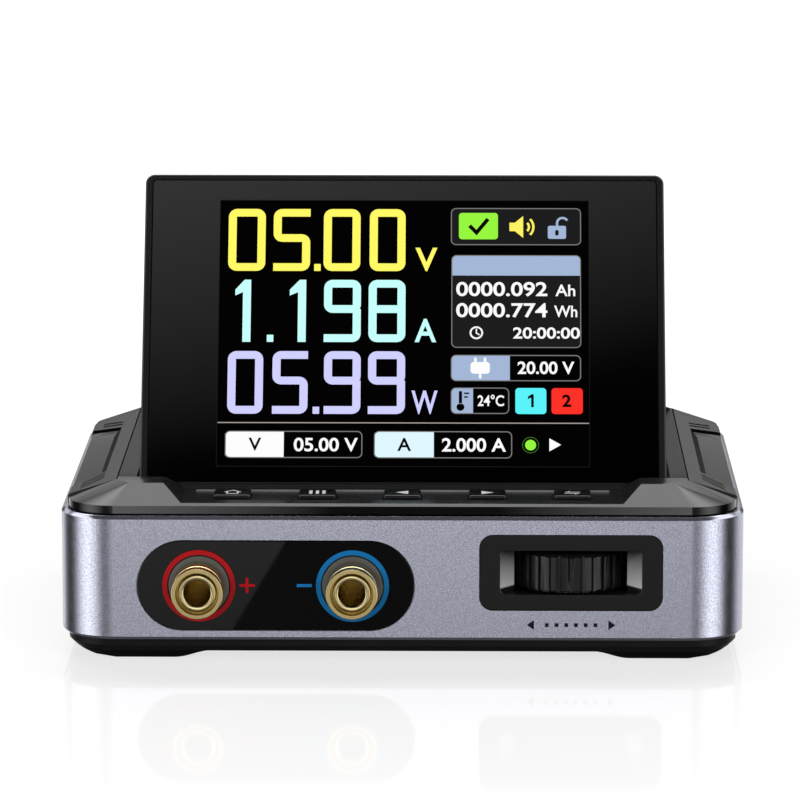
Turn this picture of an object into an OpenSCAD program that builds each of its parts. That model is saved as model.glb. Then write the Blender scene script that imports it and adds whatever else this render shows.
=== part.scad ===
// Pocket laboratory power supply with a fold-up colour display, two 4 mm output sockets,
// five menu keys and a push-and-turn thumb wheel. Millimetres, +Z up, front towards -Y.
// The origin lies on the table, under the middle of the whole object, sockets included.

/* [Band] */
// Width across the aluminium band
body_w = 104.4; // [103:0.2:108]
// Depth across the aluminium band
body_d = 76.4; // [75.8:0.2:80]
// Radius of the band's upright corners
corner_r = 8.4; // [7.4:0.1:9]
// Height of the aluminium band
band_h = 19.2; // [19:0.1:21]
// Wall of the aluminium band
band_wall = 1.8; // [1.6:0.05:2]
// Chamfer along the band's outer edges
band_edge = 0.5; // [0.3:0.05:0.6]

/* [Base] */
// Height of a rubber foot below the base
foot_h = 1.4; // [1.2:0.1:1.8]
// Visible height of the base below the band
skirt_h = 2.1; // [1.9:0.1:2.4]
// How far the skirt steps in from the band
skirt_inset = 1; // [0.7:0.05:1.1]
// Bevel round the skirt's lower edge
skirt_taper = 1; // [0.6:0.1:1.3]
// Floor of the base
base_floor = 1.8; // [1.6:0.1:2]
// Wall and height of the lip that locates the base in the band
lip_wall = 1.2; // [1:0.1:1.4]
// Height of the base's lip above the band's lower edge
lip_h = 2.4; // [1.6:0.1:3]
// Number of stiffening ribs under the base
rib_count = 11; // [7:2:11]
// Spacing of the ribs
rib_pitch = 4.87; // [4.2:0.05:5]
// Width of a rib
rib_w = 1.44; // [1:0.02:1.8]
// How far a rib stands proud of the base
rib_proud = 0.22; // [0.15:0.01:0.4]
// Length of an air slot between two ribs
slot_l = 22; // [12:1:26]
// Width of an air slot
slot_w = 1.6; // [1:0.1:2]
// Distance of the case screws from the band's outer faces
screw_inset = 6; // [5.8:0.1:6.1]
// Radius of a case screw's thread
screw_r = 0.95; // [0.8:0.05:1]
// Radius of a case screw's head
screw_head_r = 1.9; // [1.7:0.05:2]
// Length of a case screw under its head
screw_l = 9; // [7:0.5:11]

/* [Feet] */
// Flat sole of a foot, measured across the body
sole_w = 9; // [8:0.2:10]
// Flat sole of a foot, measured front to back
sole_d = 7.5; // [6:0.2:9]
// Distance of the sole's outer edge from the band's side
sole_inset_x = 8.4; // [7.5:0.1:9]
// Distance of the sole's outer edge from the band's front
sole_inset_y = 3.6; // [3.4:0.1:4.6]
// Length of the curved run between sole and base
foot_sweep = 5.8; // [4:0.2:6.4]

/* [Cover] */
// Height of the cover's upright rim
rim_h = 1.4; // [1.2:0.05:1.8]
// How far the rim steps in from the band
rim_inset = 1.1; // [0.9:0.05:1.2]
// Shadow gap between band and rim
seam_h = 0.2; // [0.15:0.05:0.3]
// Height of the sloping shoulder above the rim
slope_rise = 2.7; // [2.5:0.05:3]
// Front to back run of the shoulder at the front and rear
slope_run = 4.35; // [4:0.05:4.6]
// Wall of the cover's shell
cover_wall = 1.5; // [1.3:0.05:1.7]
// Width of the bevelled border beside the display bay
border_w = 2.35; // [2:0.05:2.6]
// Width of the bevel between the front land and the display bay
border_front = 2.85; // [2.4:0.05:3.2]
// Depth of the bevelled border
border_drop = 1.7; // [1.4:0.05:1.9]
// How far the side panels stand proud of the shoulder at the rim
panel_proud = 0.45; // [0.3:0.05:0.6]
// Depth of the recess in a side panel
recess_depth = 0.9; // [0.5:0.05:1]
// Width of the thumb notch behind the display
thumb_w = 15; // [12:0.5:18]
// Depth of the thumb notch
thumb_depth = 3.2; // [2.6:0.1:3.4]

/* [Display] */
// Width of the display housing
display_w = 81.3; // [80.3:0.1:81.9]
// Height of the display housing
display_h = 51; // [50:0.1:51.4]
// Thickness of the display housing
display_t = 6.6; // [6.2:0.1:6.8]
// Corner radius of the display housing
display_r = 1.45; // [1:0.05:2]
// Rim of the housing at the sides of the window
rim_side = 1.1; // [0.9:0.05:1.3]
// Rim of the housing above the window
rim_top = 0.9; // [0.8:0.05:1.2]
// Rim of the housing below the window
rim_bottom = 0.6; // [0.5:0.05:0.8]
// Thickness of the front window
window_t = 1; // [0.8:0.05:1.2]
// Radius of the hinge barrel
barrel_r = 3.6; // [3.5:0.05:3.7]
// Distance of the hinge axis behind the front of the band
hinge_back = 16.9; // [16.8:0.05:17.2]
// Depth of the hinge axis below the cover's land
hinge_drop = 4.3; // [4.2:0.05:4.4]
// Running gap round the hinge barrel
barrel_gap = 0.25; // [0.2:0.05:0.3]
// Gap between display and bay at each side
bay_gap = 0.75; // [0.5:0.05:0.9]
// Radius of a hinge pin
pin_r = 1.5; // [1.2:0.05:1.6]
// Length of a hinge pin inside the barrel
pin_grip = 8; // [6:0.5:10]
// Angle at which the display stands open, from lying flat
tilt_angle = 63; // [0:1:90]
// Active width of the liquid-crystal panel
active_w = 57.6; // [54:0.1:60]
// Active height of the liquid-crystal panel
active_h = 43.2; // [40:0.1:44]

/* [Keys] */
// Number of menu keys
key_count = 5; // [3:2:5]
// Spacing of the keys
key_pitch = 13; // [12.6:0.1:13.2]
// Width of a key
key_w = 5.75; // [5.2:0.05:6.2]
// Front to back size of a key
key_d = 4.75; // [4.3:0.05:4.8]
// Distance of the keys' centres behind the front of the band
key_back = 8.25; // [8.2:0.05:8.4]
// How far a key stands above the strip
key_proud = 0.4; // [0.35:0.05:0.6]
// Travel of a key
key_travel = 0.3; // [0.2:0.05:0.3]
// Half width of the flat strip that carries the keys
strip_half = 33.6; // [33.2:0.1:34]
// Depth of the key strip below the cover's land
strip_drop = 2.35; // [2.3:0.05:2.4]
// Depth of the shallow tray round the keys
tray_depth = 0.3; // [0.15:0.05:0.4]

/* [Terminals] */
// Width of the glossy terminal plate
plate_w = 42.2; // [41:0.1:43]
// Height of the terminal plate
plate_h = 13.9; // [13.4:0.1:14.4]
// Thickness of the terminal plate
plate_t = 1; // [0.8:0.05:1.1]
// Sideways place of the terminal plate's middle
plate_x = -19.15; // [-19.6:0.05:-18.8]
// Height of the sockets above the band's lower edge
socket_rise = 8.5; // [8.2:0.1:8.8]
// Spacing of the two sockets
socket_pitch = 23.35; // [22.6:0.05:24]
// Radius of the socket bore, for a 4 mm plug
socket_bore_r = 2; // [1.9:0.05:2.1]
// Depth of the socket bore
socket_bore_l = 19; // [17:0.5:20]
// Radius of the socket's front barrel
socket_r = 3.9; // [3.7:0.05:4]
// How far the socket stands out of the band
socket_proud = 6.1; // [5.6:0.1:6.6]
// Radius of the socket's threaded shank
shank_r = 2.9; // [2.8:0.05:3]
// Outer radius of a colour ring
ring_r = 5.55; // [5.3:0.05:5.8]
// Width of a colour ring
ring_w = 0.9; // [0.7:0.05:1]
// Thickness of a colour ring
ring_t = 0.25; // [0.2:0.05:0.3]
// Across-flats size of a socket nut
nut_af = 8; // [7.6:0.1:8.4]

/* [Wheel] */
// Sideways place of the thumb wheel
wheel_x = 25.7; // [25.2:0.1:26.2]
// Height of the wheel's middle above the band's lower edge
wheel_rise = 10.5; // [10.3:0.05:10.6]
// Radius of the thumb wheel over its teeth
wheel_r = 8.8; // [8.4:0.05:8.9]
// Thickness of the thumb wheel
wheel_t = 5.8; // [5.4:0.05:5.9]
// Number of thin ridges round the wheel
ridge_count = 30; // [20:1:32]
// How far a ridge stands out of the wheel's drum
ridge_h = 0.45; // [0.3:0.05:0.5]
// Width of a ridge
ridge_w = 0.4; // [0.3:0.05:0.5]
// How far the wheel stands out of the band
wheel_proud = 1.2; // [0.9:0.05:1.4]
// Sideways travel of the wheel when it is pushed in
push_travel = 0.5; // [0.3:0.05:0.5]
// Radius of the wheel's steel axle
axle_r = 1.5; // [1.3:0.05:1.6]
// Width of the wheel's bezel
bezel_w = 27.7; // [27.2:0.1:28.2]
// Height of the wheel's bezel
bezel_h = 11.6; // [11.3:0.1:11.8]
// Width of the bezel's opening
window_w = 21.5; // [21.2:0.1:21.8]
// Height of the bezel's opening
window_h = 6.75; // [6.6:0.05:6.9]
// Sideways run of the ramp at each end of the opening
ramp_run = 2.2; // [2:0.05:2.6]
// Depth of the bezel behind the band's front
bezel_depth = 3.1; // [3:0.05:3.2]

/* [Boards] */
// Thickness of the main board
board_t = 1.6; // [1.4:0.1:1.8]
// Height of the posts under the main board
post_h = 2.8; // [2.6:0.1:3]
// Thickness of the key board
key_board_t = 1.2; // [1:0.1:1.3]
// Radius of a storage capacitor
capacitor_r = 4; // [3.5:0.1:4.2]
// Height of a storage capacitor
capacitor_h = 8.5; // [7:0.1:9]
// Side of a power inductor
inductor_w = 12; // [10:0.2:12.4]
// Height of a power inductor
inductor_h = 7; // [5:0.2:8]
// Number of fins on the heat sink
fin_count = 7; // [4:1:8]

/* [Fan] */
// Side of the blower's housing
fan_w = 30; // [28:0.2:30.4]
// Thickness of the blower
fan_t = 7.2; // [6.4:0.1:7.6]
// Radius of the blower's wheel over its blades
rotor_r = 11; // [10:0.1:11.3]
// Number of blower blades
blade_count = 18; // [12:1:21]

/* [Hidden] */
$fn = 48;

// Shared places and clearances
sliver = 0.01;
through = 1;
slip = 0.1;
run_fit = 0.03;
press_gap = 0.01;
tub_wall = 1.2;

// The display's reach from its hinge axis sets how deep the case must be at least
display_foot = 0.36;
display_reach = display_foot + display_h;
bay_reach = sqrt(display_reach * display_reach + barrel_r * barrel_r) + 0.6;
case_d = max(body_d, hinge_back + bay_reach + tub_wall + slip + band_wall);
mid_y = socket_proud / 2;
front_y = mid_y - case_d / 2;
rear_y = mid_y + case_d / 2;
inner_w = body_w - 2 * band_wall;
inner_d = case_d - 2 * band_wall;
inner_r = corner_r - band_wall;
inner_front = front_y + band_wall;
inner_rear = rear_y - band_wall;
band_z = foot_h + skirt_h;
band_top = band_z + band_h;
floor_top = foot_h + base_floor;
rim_z = band_top + rim_h;
land_z = rim_z + slope_rise;
corner_y = case_d / 2 - corner_r;

// Hinge and display bay
hinge_y = front_y + hinge_back;
hinge_z = land_z - hinge_drop;
display_back = barrel_r - display_t;
bay_half = display_w / 2 + bay_gap;
bay_rear = hinge_y + bay_reach;
bay_floor = hinge_z + display_back - 0.6;
tub_half = bay_half + tub_wall;
trough_r = barrel_r + barrel_gap;
trough_wall = 1;
bay_front = hinge_y - trough_r;
crease_x = bay_half + border_w;
crease_y = case_d / 2 - rim_inset - slope_run;
crease_w = 0.2;
seam_back = 0.3;
panel_edge = rim_inset + 0.1;
panel_over = 0.25;
panel_lip = 0.3;
panel_rear = corner_y - 2.8;
recess_edge = 2.4;
recess_reach = 8;
recess_land_front = 10.2;
recess_land_rear = 13.8;
recess_front = -corner_y + recess_land_front;
recess_rear = corner_y - recess_land_rear;
recess_slant = 0.9;
recess_wall_run = 1.6;
groove_run = 3.6;
groove_w = 0.7;
groove_pitch = 1.7;
groove_depth = 0.6;
end_groove_w = 0.9;
end_groove_pitch = 2;
boss_r = 3;
boss_l = 3.4;
boss_end = min(tub_half + boss_l, inner_w / 2 - slip);
bush_r = 2.4;
ribbon_x = 10;
ribbon_w = 9;
ribbon_t = 0.3;

// Inside of the display, measured up from the hinge axis
cavity_low = bush_r + 0.6;
cavity_top = display_reach - 1.4;
cavity_z = display_back + 1.4;
active_low = display_foot + 3.4;
panel_low = cavity_low + 0.1;
panel_top = min(active_low + active_h + 0.9, cavity_top - slip);
panel_t = 2;
display_board_t = 1;

// Key strip
strip_z = land_z - strip_drop;
strip_floor = 1.2;
strip_under = strip_z - strip_floor;
strip_side_run = 2.8;
key_y = front_y + key_back;
key_slot = 0.12;
flange_t = 0.55;
flange_lip = 0.5;
flange_gap = 0.05;
switch_w = 4.4;
switch_h = 1.5;
plunger_h = 0.75;
stem_l = 0.65;
flange_z = strip_under - flange_gap - flange_t;
plunger_top = flange_z - stem_l - key_travel - 0.05;
switch_z = plunger_top - plunger_h - switch_h;
key_board_z = switch_z - key_board_t;
key_board_w = (key_count - 1) * key_pitch + 11;
key_board_front = inner_front + 1.6;
key_board_rear = bay_front - trough_wall - 0.6;
key_screw_x = key_pitch / 2;

// Terminals
socket_z = band_z + socket_rise;
socket_x = [plate_x - socket_pitch / 2, plate_x + socket_pitch / 2];
flange_r = ring_r - ring_w - 0.05;
flange_proud = 0.4;
washer_t = 0.8;
nut_t = 2;
tail_y = front_y - socket_proud + socket_bore_l + 2;
tab_l = 4;

// Wheel
wheel_z = band_z + wheel_rise;
wheel_y = front_y - wheel_proud + wheel_r;
bezel_z = wheel_z + 0.1;
bezel_r = 2;
bezel_lip = 1.6;
carrier_t = 0.9;
carrier_w = 9;
carrier_d = 12;
carrier_y = wheel_y + 3;
hub_r = 3;
wheel_low = wheel_z - wheel_t / 2;
carrier_top = wheel_low - 0.3;
rail_w = 1.5;

// Boards
board_z = floor_top + post_h;
board_top = board_z + board_t;
board_half = inner_w / 2 - 7.2;
board_front = inner_front + 3;
board_rear = inner_rear - 2.2;
board_screw_x = board_half - 3.5;
board_screw_y = [board_front + 7.4, board_rear - 6.2];
pilot_r = screw_r + 0.02;
case_screw_x = body_w / 2 - screw_inset;
case_screw_y = case_d / 2 - screw_inset;
tower_r = 3;
tower_top = band_z + lip_h + 0.1;
cover_boss_r = 2.2;
head_t = 1.4;
head_sunk = 0.4;
slot_y = mid_y + 6;
inductor_x = -28;
inductor_y = [mid_y + 10, mid_y - 6];
capacitor_x = [-16, -6.5, 3];
capacitor_y = mid_y - 11;
chip_x = 12;
chip_w = 8;
chip_gap = 2;

// Blower, beside the right board screws, and the heat sink between it and the inductors
fan_screw_gap = 2.7;
fan_back = 4.2;
fan_x = board_screw_x - fan_w / 2 - fan_screw_gap;
fan_y = board_rear - fan_w / 2 - fan_back;
chip_y = fan_y - fan_w / 2 - chip_gap - chip_w / 2;
fan_z = board_top;
fan_wall = 1;
scroll_r = rotor_r + 1.2;
outlet_w = 10.2;
outlet_x = fan_x + scroll_r - outlet_w;
rotor_pin_r = 0.75;
fan_screw_inset = 2.4;
sink_w = 18;
sink_d = 20;
sink_x = (inductor_x + inductor_w / 2 + fan_x - fan_w / 2) / 2 - sink_w / 2;
sink_y = mid_y;

// Rear inlets
usb_x = -30;
dc_x = -14;
dc_hole_r = 2.75;
dc_body_h = 9.6;
dc_z = board_top + dc_body_h / 2;
usb_w = 8.94;
usb_h = 3.26;
usb_l = 7.35;
usb_z = board_top + usb_h / 2;

function mix(a, b, t) = a + (b - a) * t;
function ease(t) = (1 - cos(180 * t)) / 2;

// Flat outlines

module rounded_rect(w, d, r) {
    square([w - 2 * r, d], center = true);
    square([w, d - 2 * r], center = true);
    for (sx = [-1, 1], sy = [-1, 1])
        translate([sx * (w / 2 - r), sy * (d / 2 - r)]) circle(r);
}

module stadium(w, h) {
    square([w - h, h], center = true);
    for (sx = [-1, 1]) translate([sx * (w - h) / 2, 0]) circle(h / 2);
}

module rounded_block(w, d, h, r) {
    linear_extrude(h) rounded_rect(w, d, r);
}

// Carries what is drawn round the body's own middle; the sockets' overhang sets that back
module at_middle() {
    translate([0, mid_y, 0]) children();
}

// Turns an outline drawn in X and Z to face the front, from y0 back to y0 + depth
module front_extrude(y0, depth) {
    translate([0, y0 + depth, 0]) rotate([90, 0, 0]) linear_extrude(depth) children();
}

// A round profile, radius against distance out of the front face
module front_revolve(x, y, z) {
    translate([x, y, z]) rotate([90, 0, 0]) rotate_extrude() children();
}

// A rounded slab whose outline steps in by a chamfer at the bottom and at the top
module chamfered_block(w, d, h, r, low, high) {
    function section(half) = [
        [-half + low, 0], [half - low, 0], [half, low], [half, h - high],
        [half - high, h], [-half + high, h], [-half, h - high], [-half, low]
    ];
    rotate([90, 0, 0]) linear_extrude(d - 2 * r, center = true) polygon(section(w / 2));
    rotate([90, 0, 90]) linear_extrude(w - 2 * r, center = true) polygon(section(d / 2));
    for (sx = [-1, 1], sy = [-1, 1])
        translate([sx * (w / 2 - r), sy * (d / 2 - r), 0])
            rotate_extrude()
                polygon([[0, 0], [r - low, 0], [r, low], [r, h - high], [r - high, h], [0, h]]);
}

// Base

module base_skirt() {
    w = body_w - 2 * skirt_inset;
    d = case_d - 2 * skirt_inset;
    r = corner_r - skirt_inset;
    rise = skirt_h;
    translate([0, mid_y, foot_h]) {
        rotate([90, 0, 0])
            linear_extrude(d - 2 * r, center = true) skirt_section(w / 2, rise);
        rotate([90, 0, 90])
            linear_extrude(w - 2 * r, center = true) skirt_section(d / 2, rise);
        for (sx = [-1, 1], sy = [-1, 1])
            translate([sx * (w / 2 - r), sy * (d / 2 - r), 0])
                rotate_extrude()
                    polygon([[0, 0], [r - skirt_taper, 0], [r, skirt_taper], [r, rise], [0, rise]]);
    }
}

module skirt_section(half, rise) {
    polygon([
        [-half + skirt_taper, 0], [half - skirt_taper, 0], [half, skirt_taper], [half, rise],
        [-half, rise], [-half, skirt_taper]
    ]);
}

module at_case_screws() {
    for (sx = [-1, 1], sy = [-1, 1])
        translate([sx * case_screw_x, mid_y + sy * case_screw_y, 0]) children();
}

module at_board_screws() {
    for (sx = [-1, 1], y = board_screw_y) translate([sx * board_screw_x, y, 0]) children();
}

module base_tray() {
    lip_w = inner_w - 2 * slip;
    lip_d = inner_d - 2 * slip;
    lip_r = inner_r - slip;
    first_rib = -(rib_count - 1) / 2 * rib_pitch;
    color([0.07, 0.07, 0.08])
    difference() {
        union() {
            difference() {
                union() {
                    base_skirt();
                    translate([0, mid_y, band_z - sliver])
                        rounded_block(lip_w, lip_d, lip_h + sliver, lip_r);
                }
                translate([0, mid_y, floor_top])
                    rounded_block(lip_w - 2 * lip_wall, lip_d - 2 * lip_wall,
                                  lip_h + band_h, lip_r - lip_wall);
            }
            at_case_screws() translate([0, 0, foot_h]) cylinder(r = tower_r, h = tower_top - foot_h);
            at_board_screws()
                translate([0, 0, floor_top - sliver]) cylinder(r = 2.4, h = post_h + sliver);
            for (i = [0 : rib_count - 1])
                translate([first_rib + i * rib_pitch - rib_w / 2, front_y + 3, foot_h - rib_proud])
                    cube([rib_w, case_d - 6, rib_proud + sliver]);
        }
        at_case_screws() {
            translate([0, 0, foot_h - through])
                cylinder(r = screw_head_r + 0.2, h = head_t + head_sunk + through);
            translate([0, 0, foot_h]) cylinder(r = screw_r + 0.1, h = tower_top);
        }
        at_board_screws() translate([0, 0, floor_top]) cylinder(r = pilot_r, h = post_h + through);
        for (i = [0 : rib_count - 2])
            translate([first_rib + (i + 0.5) * rib_pitch, slot_y, foot_h - through])
                linear_extrude(base_floor + 2 * through) rotate(90) stadium(slot_l, slot_w);
    }
}

// Side view of a foot: flat sole, a straight lift outwards and an S-curve inwards
module foot_profile(sole_in, sole_out, edge) {
    steps = 10;
    polygon(concat(
        [[sole_out, 0], [edge, foot_h]],
        [for (i = [0 : steps])
            [mix(sole_in - foot_sweep, sole_in, i / steps), foot_h * (1 - ease(i / steps))]]
    ));
}

module one_foot() {
    out_x = body_w / 2 - sole_inset_x;
    out_y = case_d / 2 - sole_inset_y;
    edge = skirt_inset + skirt_taper + 0.2;
    edge_x = body_w / 2 - edge;
    edge_y = case_d / 2 - edge;
    pad_w = sole_inset_x - edge + sole_w + foot_sweep + 1;
    pad_d = sole_inset_y - edge + sole_d + foot_sweep + 1;
    intersection() {
        rotate([90, 0, 0]) linear_extrude(case_d, center = true)
            foot_profile(out_x - sole_w, out_x, edge_x);
        rotate([90, 0, 90]) linear_extrude(body_w, center = true)
            foot_profile(out_y - sole_d, out_y, edge_y);
        linear_extrude(foot_h) translate([edge_x - pad_w, edge_y - pad_d])
            rounded_pad(pad_w, pad_d, corner_r - edge);
    }
}

// A rectangle from the origin with only its far corner rounded
module rounded_pad(w, d, r) {
    square([w - r, d]);
    square([w, d - r]);
    translate([w - r, d - r]) circle(r);
}

module rubber_feet() {
    color([0.05, 0.05, 0.055])
    at_middle() for (mx = [0, 1], my = [0, 1])
        mirror([mx, 0, 0]) mirror([0, my, 0]) one_foot();
}

module case_screws() {
    color([0.55, 0.56, 0.58])
    at_case_screws() translate([0, 0, foot_h + head_t + head_sunk]) pan_screw(screw_head_r, head_t, screw_l);
}

// Band

module socket_places() {
    for (x = socket_x) translate([x, 0, socket_z]) children();
}

module plate_outline(grow) {
    translate([plate_x, socket_z]) stadium(plate_w + 2 * grow, plate_h + 2 * grow);
}

module bezel_outline(grow) {
    translate([wheel_x, bezel_z])
        rounded_rect(bezel_w + 2 * grow, bezel_h + 2 * grow, bezel_r + grow);
}

module exhaust_slots() {
    slot_pitch = 2.05;
    slots = floor((outlet_w - 1) / slot_pitch) + 1;
    for (i = [0 : slots - 1])
        translate([outlet_x + outlet_w / 2 + (i - (slots - 1) / 2) * slot_pitch,
                   fan_z + fan_t / 2]) rotate(90) stadium(fan_t - 1.6, 1.15);
}

module side_band() {
    color([0.58, 0.59, 0.66])
    difference() {
        translate([0, mid_y, band_z])
            chamfered_block(body_w, case_d, band_h, corner_r, band_edge, band_edge);
        translate([0, mid_y, band_z - through])
            rounded_block(inner_w, inner_d, band_h + 2 * through, inner_r);
        front_extrude(front_y - through, plate_t + through) plate_outline(slip);
        front_extrude(front_y - through, band_wall + 2 * through) bezel_outline(slip);
        socket_places() rotate([90, 0, 0])
            translate([0, 0, -inner_front - through])
                cylinder(r = shank_r + 0.75, h = band_wall + 2 * through);
        front_extrude(inner_rear - through, band_wall + 2 * through) {
            exhaust_slots();
            translate([usb_x, usb_z]) stadium(usb_w + 0.6, usb_h + 0.6);
            translate([dc_x, dc_z]) circle(dc_hole_r + 0.9);
        }
    }
}

// Cover

module cover_top_outline(inset) {
    cut_x = 2;
    cut_y = crease_y - corner_y;
    cx = crease_x - inset;
    cy = crease_y - inset;
    polygon([
        [cx, -cy + cut_y], [cx, cy - cut_y], [cx - cut_x, cy], [-cx + cut_x, cy],
        [-cx, cy - cut_y], [-cx, -cy + cut_y], [-cx + cut_x, -cy], [cx - cut_x, -cy]
    ]);
}

module shoulder_hull() {
    w = body_w - 2 * rim_inset;
    d = case_d - 2 * rim_inset;
    at_middle() hull() {
        translate([0, 0, band_top + seam_h])
            linear_extrude(rim_h - seam_h) rounded_rect(w, d, corner_r - rim_inset, $fn = 72);
        translate([0, 0, land_z - sliver]) linear_extrude(sliver) cover_top_outline(0);
    }
}

module cover_pocket() {
    lip_w = inner_w - 2 * slip - 2 * lip_wall;
    lip_d = inner_d - 2 * slip - 2 * lip_wall;
    at_middle() hull() {
        translate([0, 0, band_top - 4])
            linear_extrude(4 + seam_h) rounded_rect(lip_w, lip_d, inner_r - slip - lip_wall, $fn = 32);
        translate([0, 0, land_z - cover_wall - recess_depth / 2])
            linear_extrude(sliver) cover_top_outline(cover_wall);
    }
}

module side_panel() {
    edge = body_w / 2 - panel_edge;
    outer = edge + panel_over;
    at_middle() translate([0, panel_rear, 0]) rotate([90, 0, 0]) linear_extrude(corner_y + panel_rear)
        polygon([
            [crease_x, land_z], [edge, rim_z + panel_proud], [outer, rim_z + panel_proud - panel_lip],
            [outer, band_top + seam_h], [crease_x, band_top + seam_h]
        ]);
}

// Local frame on a side panel: X runs down the slope from the crease, Z stands square on it
module on_side_slope() {
    run = body_w / 2 - panel_edge - crease_x;
    translate([crease_x, mid_y, land_z]) rotate([0, atan((slope_rise - panel_proud) / run), 0]) children();
}

// Outline of the long recess in a side panel, with slanted ends, drawn in by an inset
module recess_outline(inset) {
    inner_x = recess_edge + inset * recess_wall_run;
    outer_x = recess_edge + recess_reach;
    slant = recess_slant * (outer_x - inner_x);
    polygon([
        [inner_x, recess_front + inset], [outer_x, recess_front + inset - slant],
        [outer_x, recess_rear - inset + slant], [inner_x, recess_rear - inset]
    ]);
}

// A groove along the recess's slanted end, from the crease side outwards
module slanted_groove(start_y, side, run, w) {
    slant = recess_slant * run;
    polygon([
        [recess_edge, start_y], [recess_edge + run, start_y + side * slant],
        [recess_edge + run, start_y + side * (slant + w)], [recess_edge, start_y + side * w]
    ]);
}

module side_relief() {
    on_side_slope() {
        hull() {
            translate([0, 0, -recess_depth]) linear_extrude(sliver) recess_outline(recess_depth);
            linear_extrude(1) recess_outline(0);
        }
        translate([0, 0, -groove_depth]) linear_extrude(1 + groove_depth) {
            for (i = [1 : 3]) slanted_groove(recess_front - i * groove_pitch, -1, groove_run, groove_w);
            for (i = [1 : 2]) slanted_groove(recess_rear + i * end_groove_pitch, 1, groove_run, end_groove_w);
        }
        translate([0, 0, -recess_depth - groove_depth]) linear_extrude(1 + recess_depth + groove_depth)
            slanted_groove(recess_rear - end_groove_w, 1, 2 * groove_run, end_groove_w);
    }
}

// Bevelled mouth of the display bay
module bay_border() {
    x1 = bay_half;
    x2 = crease_x;
    f1 = bay_front;
    f2 = bay_front - border_front;
    r1 = bay_rear;
    r2 = bay_rear + 0.6;
    low = land_z - border_drop;
    top = land_z + sliver;
    polyhedron(
        points = [
            [-x1, f1, low], [x1, f1, low], [x1, r1, low], [-x1, r1, low],
            [-x2, f2, top], [x2, f2, top], [x2, r2, top], [-x2, r2, top]
        ],
        faces = [[0, 1, 2, 3], [7, 6, 5, 4], [4, 5, 1, 0], [5, 6, 2, 1], [6, 7, 3, 2], [7, 4, 0, 3]]
    );
}

module along_hinge(x0, x1) {
    translate([x0, hinge_y, hinge_z]) rotate([90, 0, 90]) linear_extrude(x1 - x0) children();
}

module strip_channel() {
    rise = strip_drop + through;
    run = strip_side_run * rise / strip_drop;
    front_extrude(front_y - through, bay_front - front_y + 2 * through)
        polygon([
            [-strip_half, strip_z], [strip_half, strip_z],
            [strip_half + run, strip_z + rise], [-strip_half - run, strip_z + rise]
        ]);
}

module key_places() {
    for (i = [0 : key_count - 1])
        translate([(i - (key_count - 1) / 2) * key_pitch, key_y, 0]) children();
}

// Fine parting line along each crease between a side panel and the display bay's border
module crease_line() {
    translate([crease_x - crease_w / 2, mid_y - corner_y, land_z - 0.3]) cube([crease_w, 2 * corner_y, 1]);
}

module top_cover() {
    seam_edge = rim_inset + seam_back;
    color([0.2, 0.2, 0.21])
    difference() {
        union() {
            difference() {
                union() {
                    shoulder_hull();
                    side_panel();
                    mirror([1, 0, 0]) side_panel();
                    translate([0, mid_y, band_top])
                        rounded_block(body_w - 2 * seam_edge, case_d - 2 * seam_edge, rim_h,
                                      corner_r - seam_edge);
                    translate([0, mid_y, band_top - 2])
                        rounded_block(inner_w - 2 * slip, inner_d - 2 * slip, 2 + sliver, inner_r - slip);
                }
                cover_pocket();
            }
            cover_tub();
            cover_posts();
        }
        bay_border();
        translate([-bay_half, bay_front, bay_floor])
            cube([2 * bay_half, bay_rear - bay_front, land_z]);
        along_hinge(-bay_half, bay_half) circle(trough_r);
        strip_channel();
        translate([0, key_y - 0.2, strip_z - tray_depth])
            rounded_block(2 * strip_half - 2.8, key_d + 3.2, strip_drop, 0.8);
        key_places() translate([0, 0, strip_under - through])
            rounded_block(key_w + 2 * key_slot, key_d + 2 * key_slot, strip_floor + 2 * through, 0.6);
        for (m = [0, 1]) mirror([m, 0, 0]) {
            side_relief();
            crease_line();
        }
        for (m = [0, 1]) mirror([m, 0, 0])
            along_hinge(bay_half - through, boss_end + through) circle(pin_r + press_gap);
        at_case_screws() translate([0, 0, tower_top - through])
            cylinder(r = pilot_r, h = screw_l + through);
        for (sx = [-1, 1]) translate([sx * key_screw_x, key_y, key_board_z])
            cylinder(r = pilot_r, h = strip_under - key_board_z - 0.3);
        thumb_notch();
        ribbon_slot();
    }
}

// The bay's tub with its trough round the hinge barrel, and the solid strip under the keys
module cover_tub() {
    floor_under = bay_floor - tub_wall;
    translate([-tub_half, hinge_y, floor_under])
        cube([2 * tub_half, bay_rear + tub_wall - hinge_y, land_z - floor_under]);
    along_hinge(-tub_half, tub_half) intersection() {
        circle(trough_r + trough_wall);
        translate([-2 * trough_r, -2 * trough_r]) square([4 * trough_r, 2 * trough_r + barrel_r]);
    }
    for (m = [0, 1]) mirror([m, 0, 0]) along_hinge(tub_half - sliver, boss_end) circle(boss_r);
    intersection() {
        shoulder_hull();
        union() {
            translate([-tub_half, front_y, strip_under])
                cube([2 * tub_half, hinge_y - front_y, strip_drop + strip_floor]);
            translate([-thumb_w / 2 - 1, bay_rear, band_top])
                cube([thumb_w + 2, rear_y - bay_rear, land_z - band_top]);
        }
    }
    translate([-tub_half, bay_front - trough_wall, hinge_z])
        cube([2 * tub_half, trough_wall + 1, strip_under - hinge_z + sliver]);
}

module cover_posts() {
    at_case_screws() translate([0, 0, tower_top]) cylinder(r = cover_boss_r, h = rim_z - tower_top);
    for (sx = [-1, 1]) {
        translate([sx * key_screw_x, key_y, switch_z]) cylinder(r = 1.7, h = strip_under - switch_z + sliver);
        translate([sx * (key_board_w / 2 - 0.6) - 0.5, key_board_front + 1, switch_z])
            cube([1, key_board_rear - key_board_front - 2, strip_under - switch_z + sliver]);
    }
}

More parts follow.
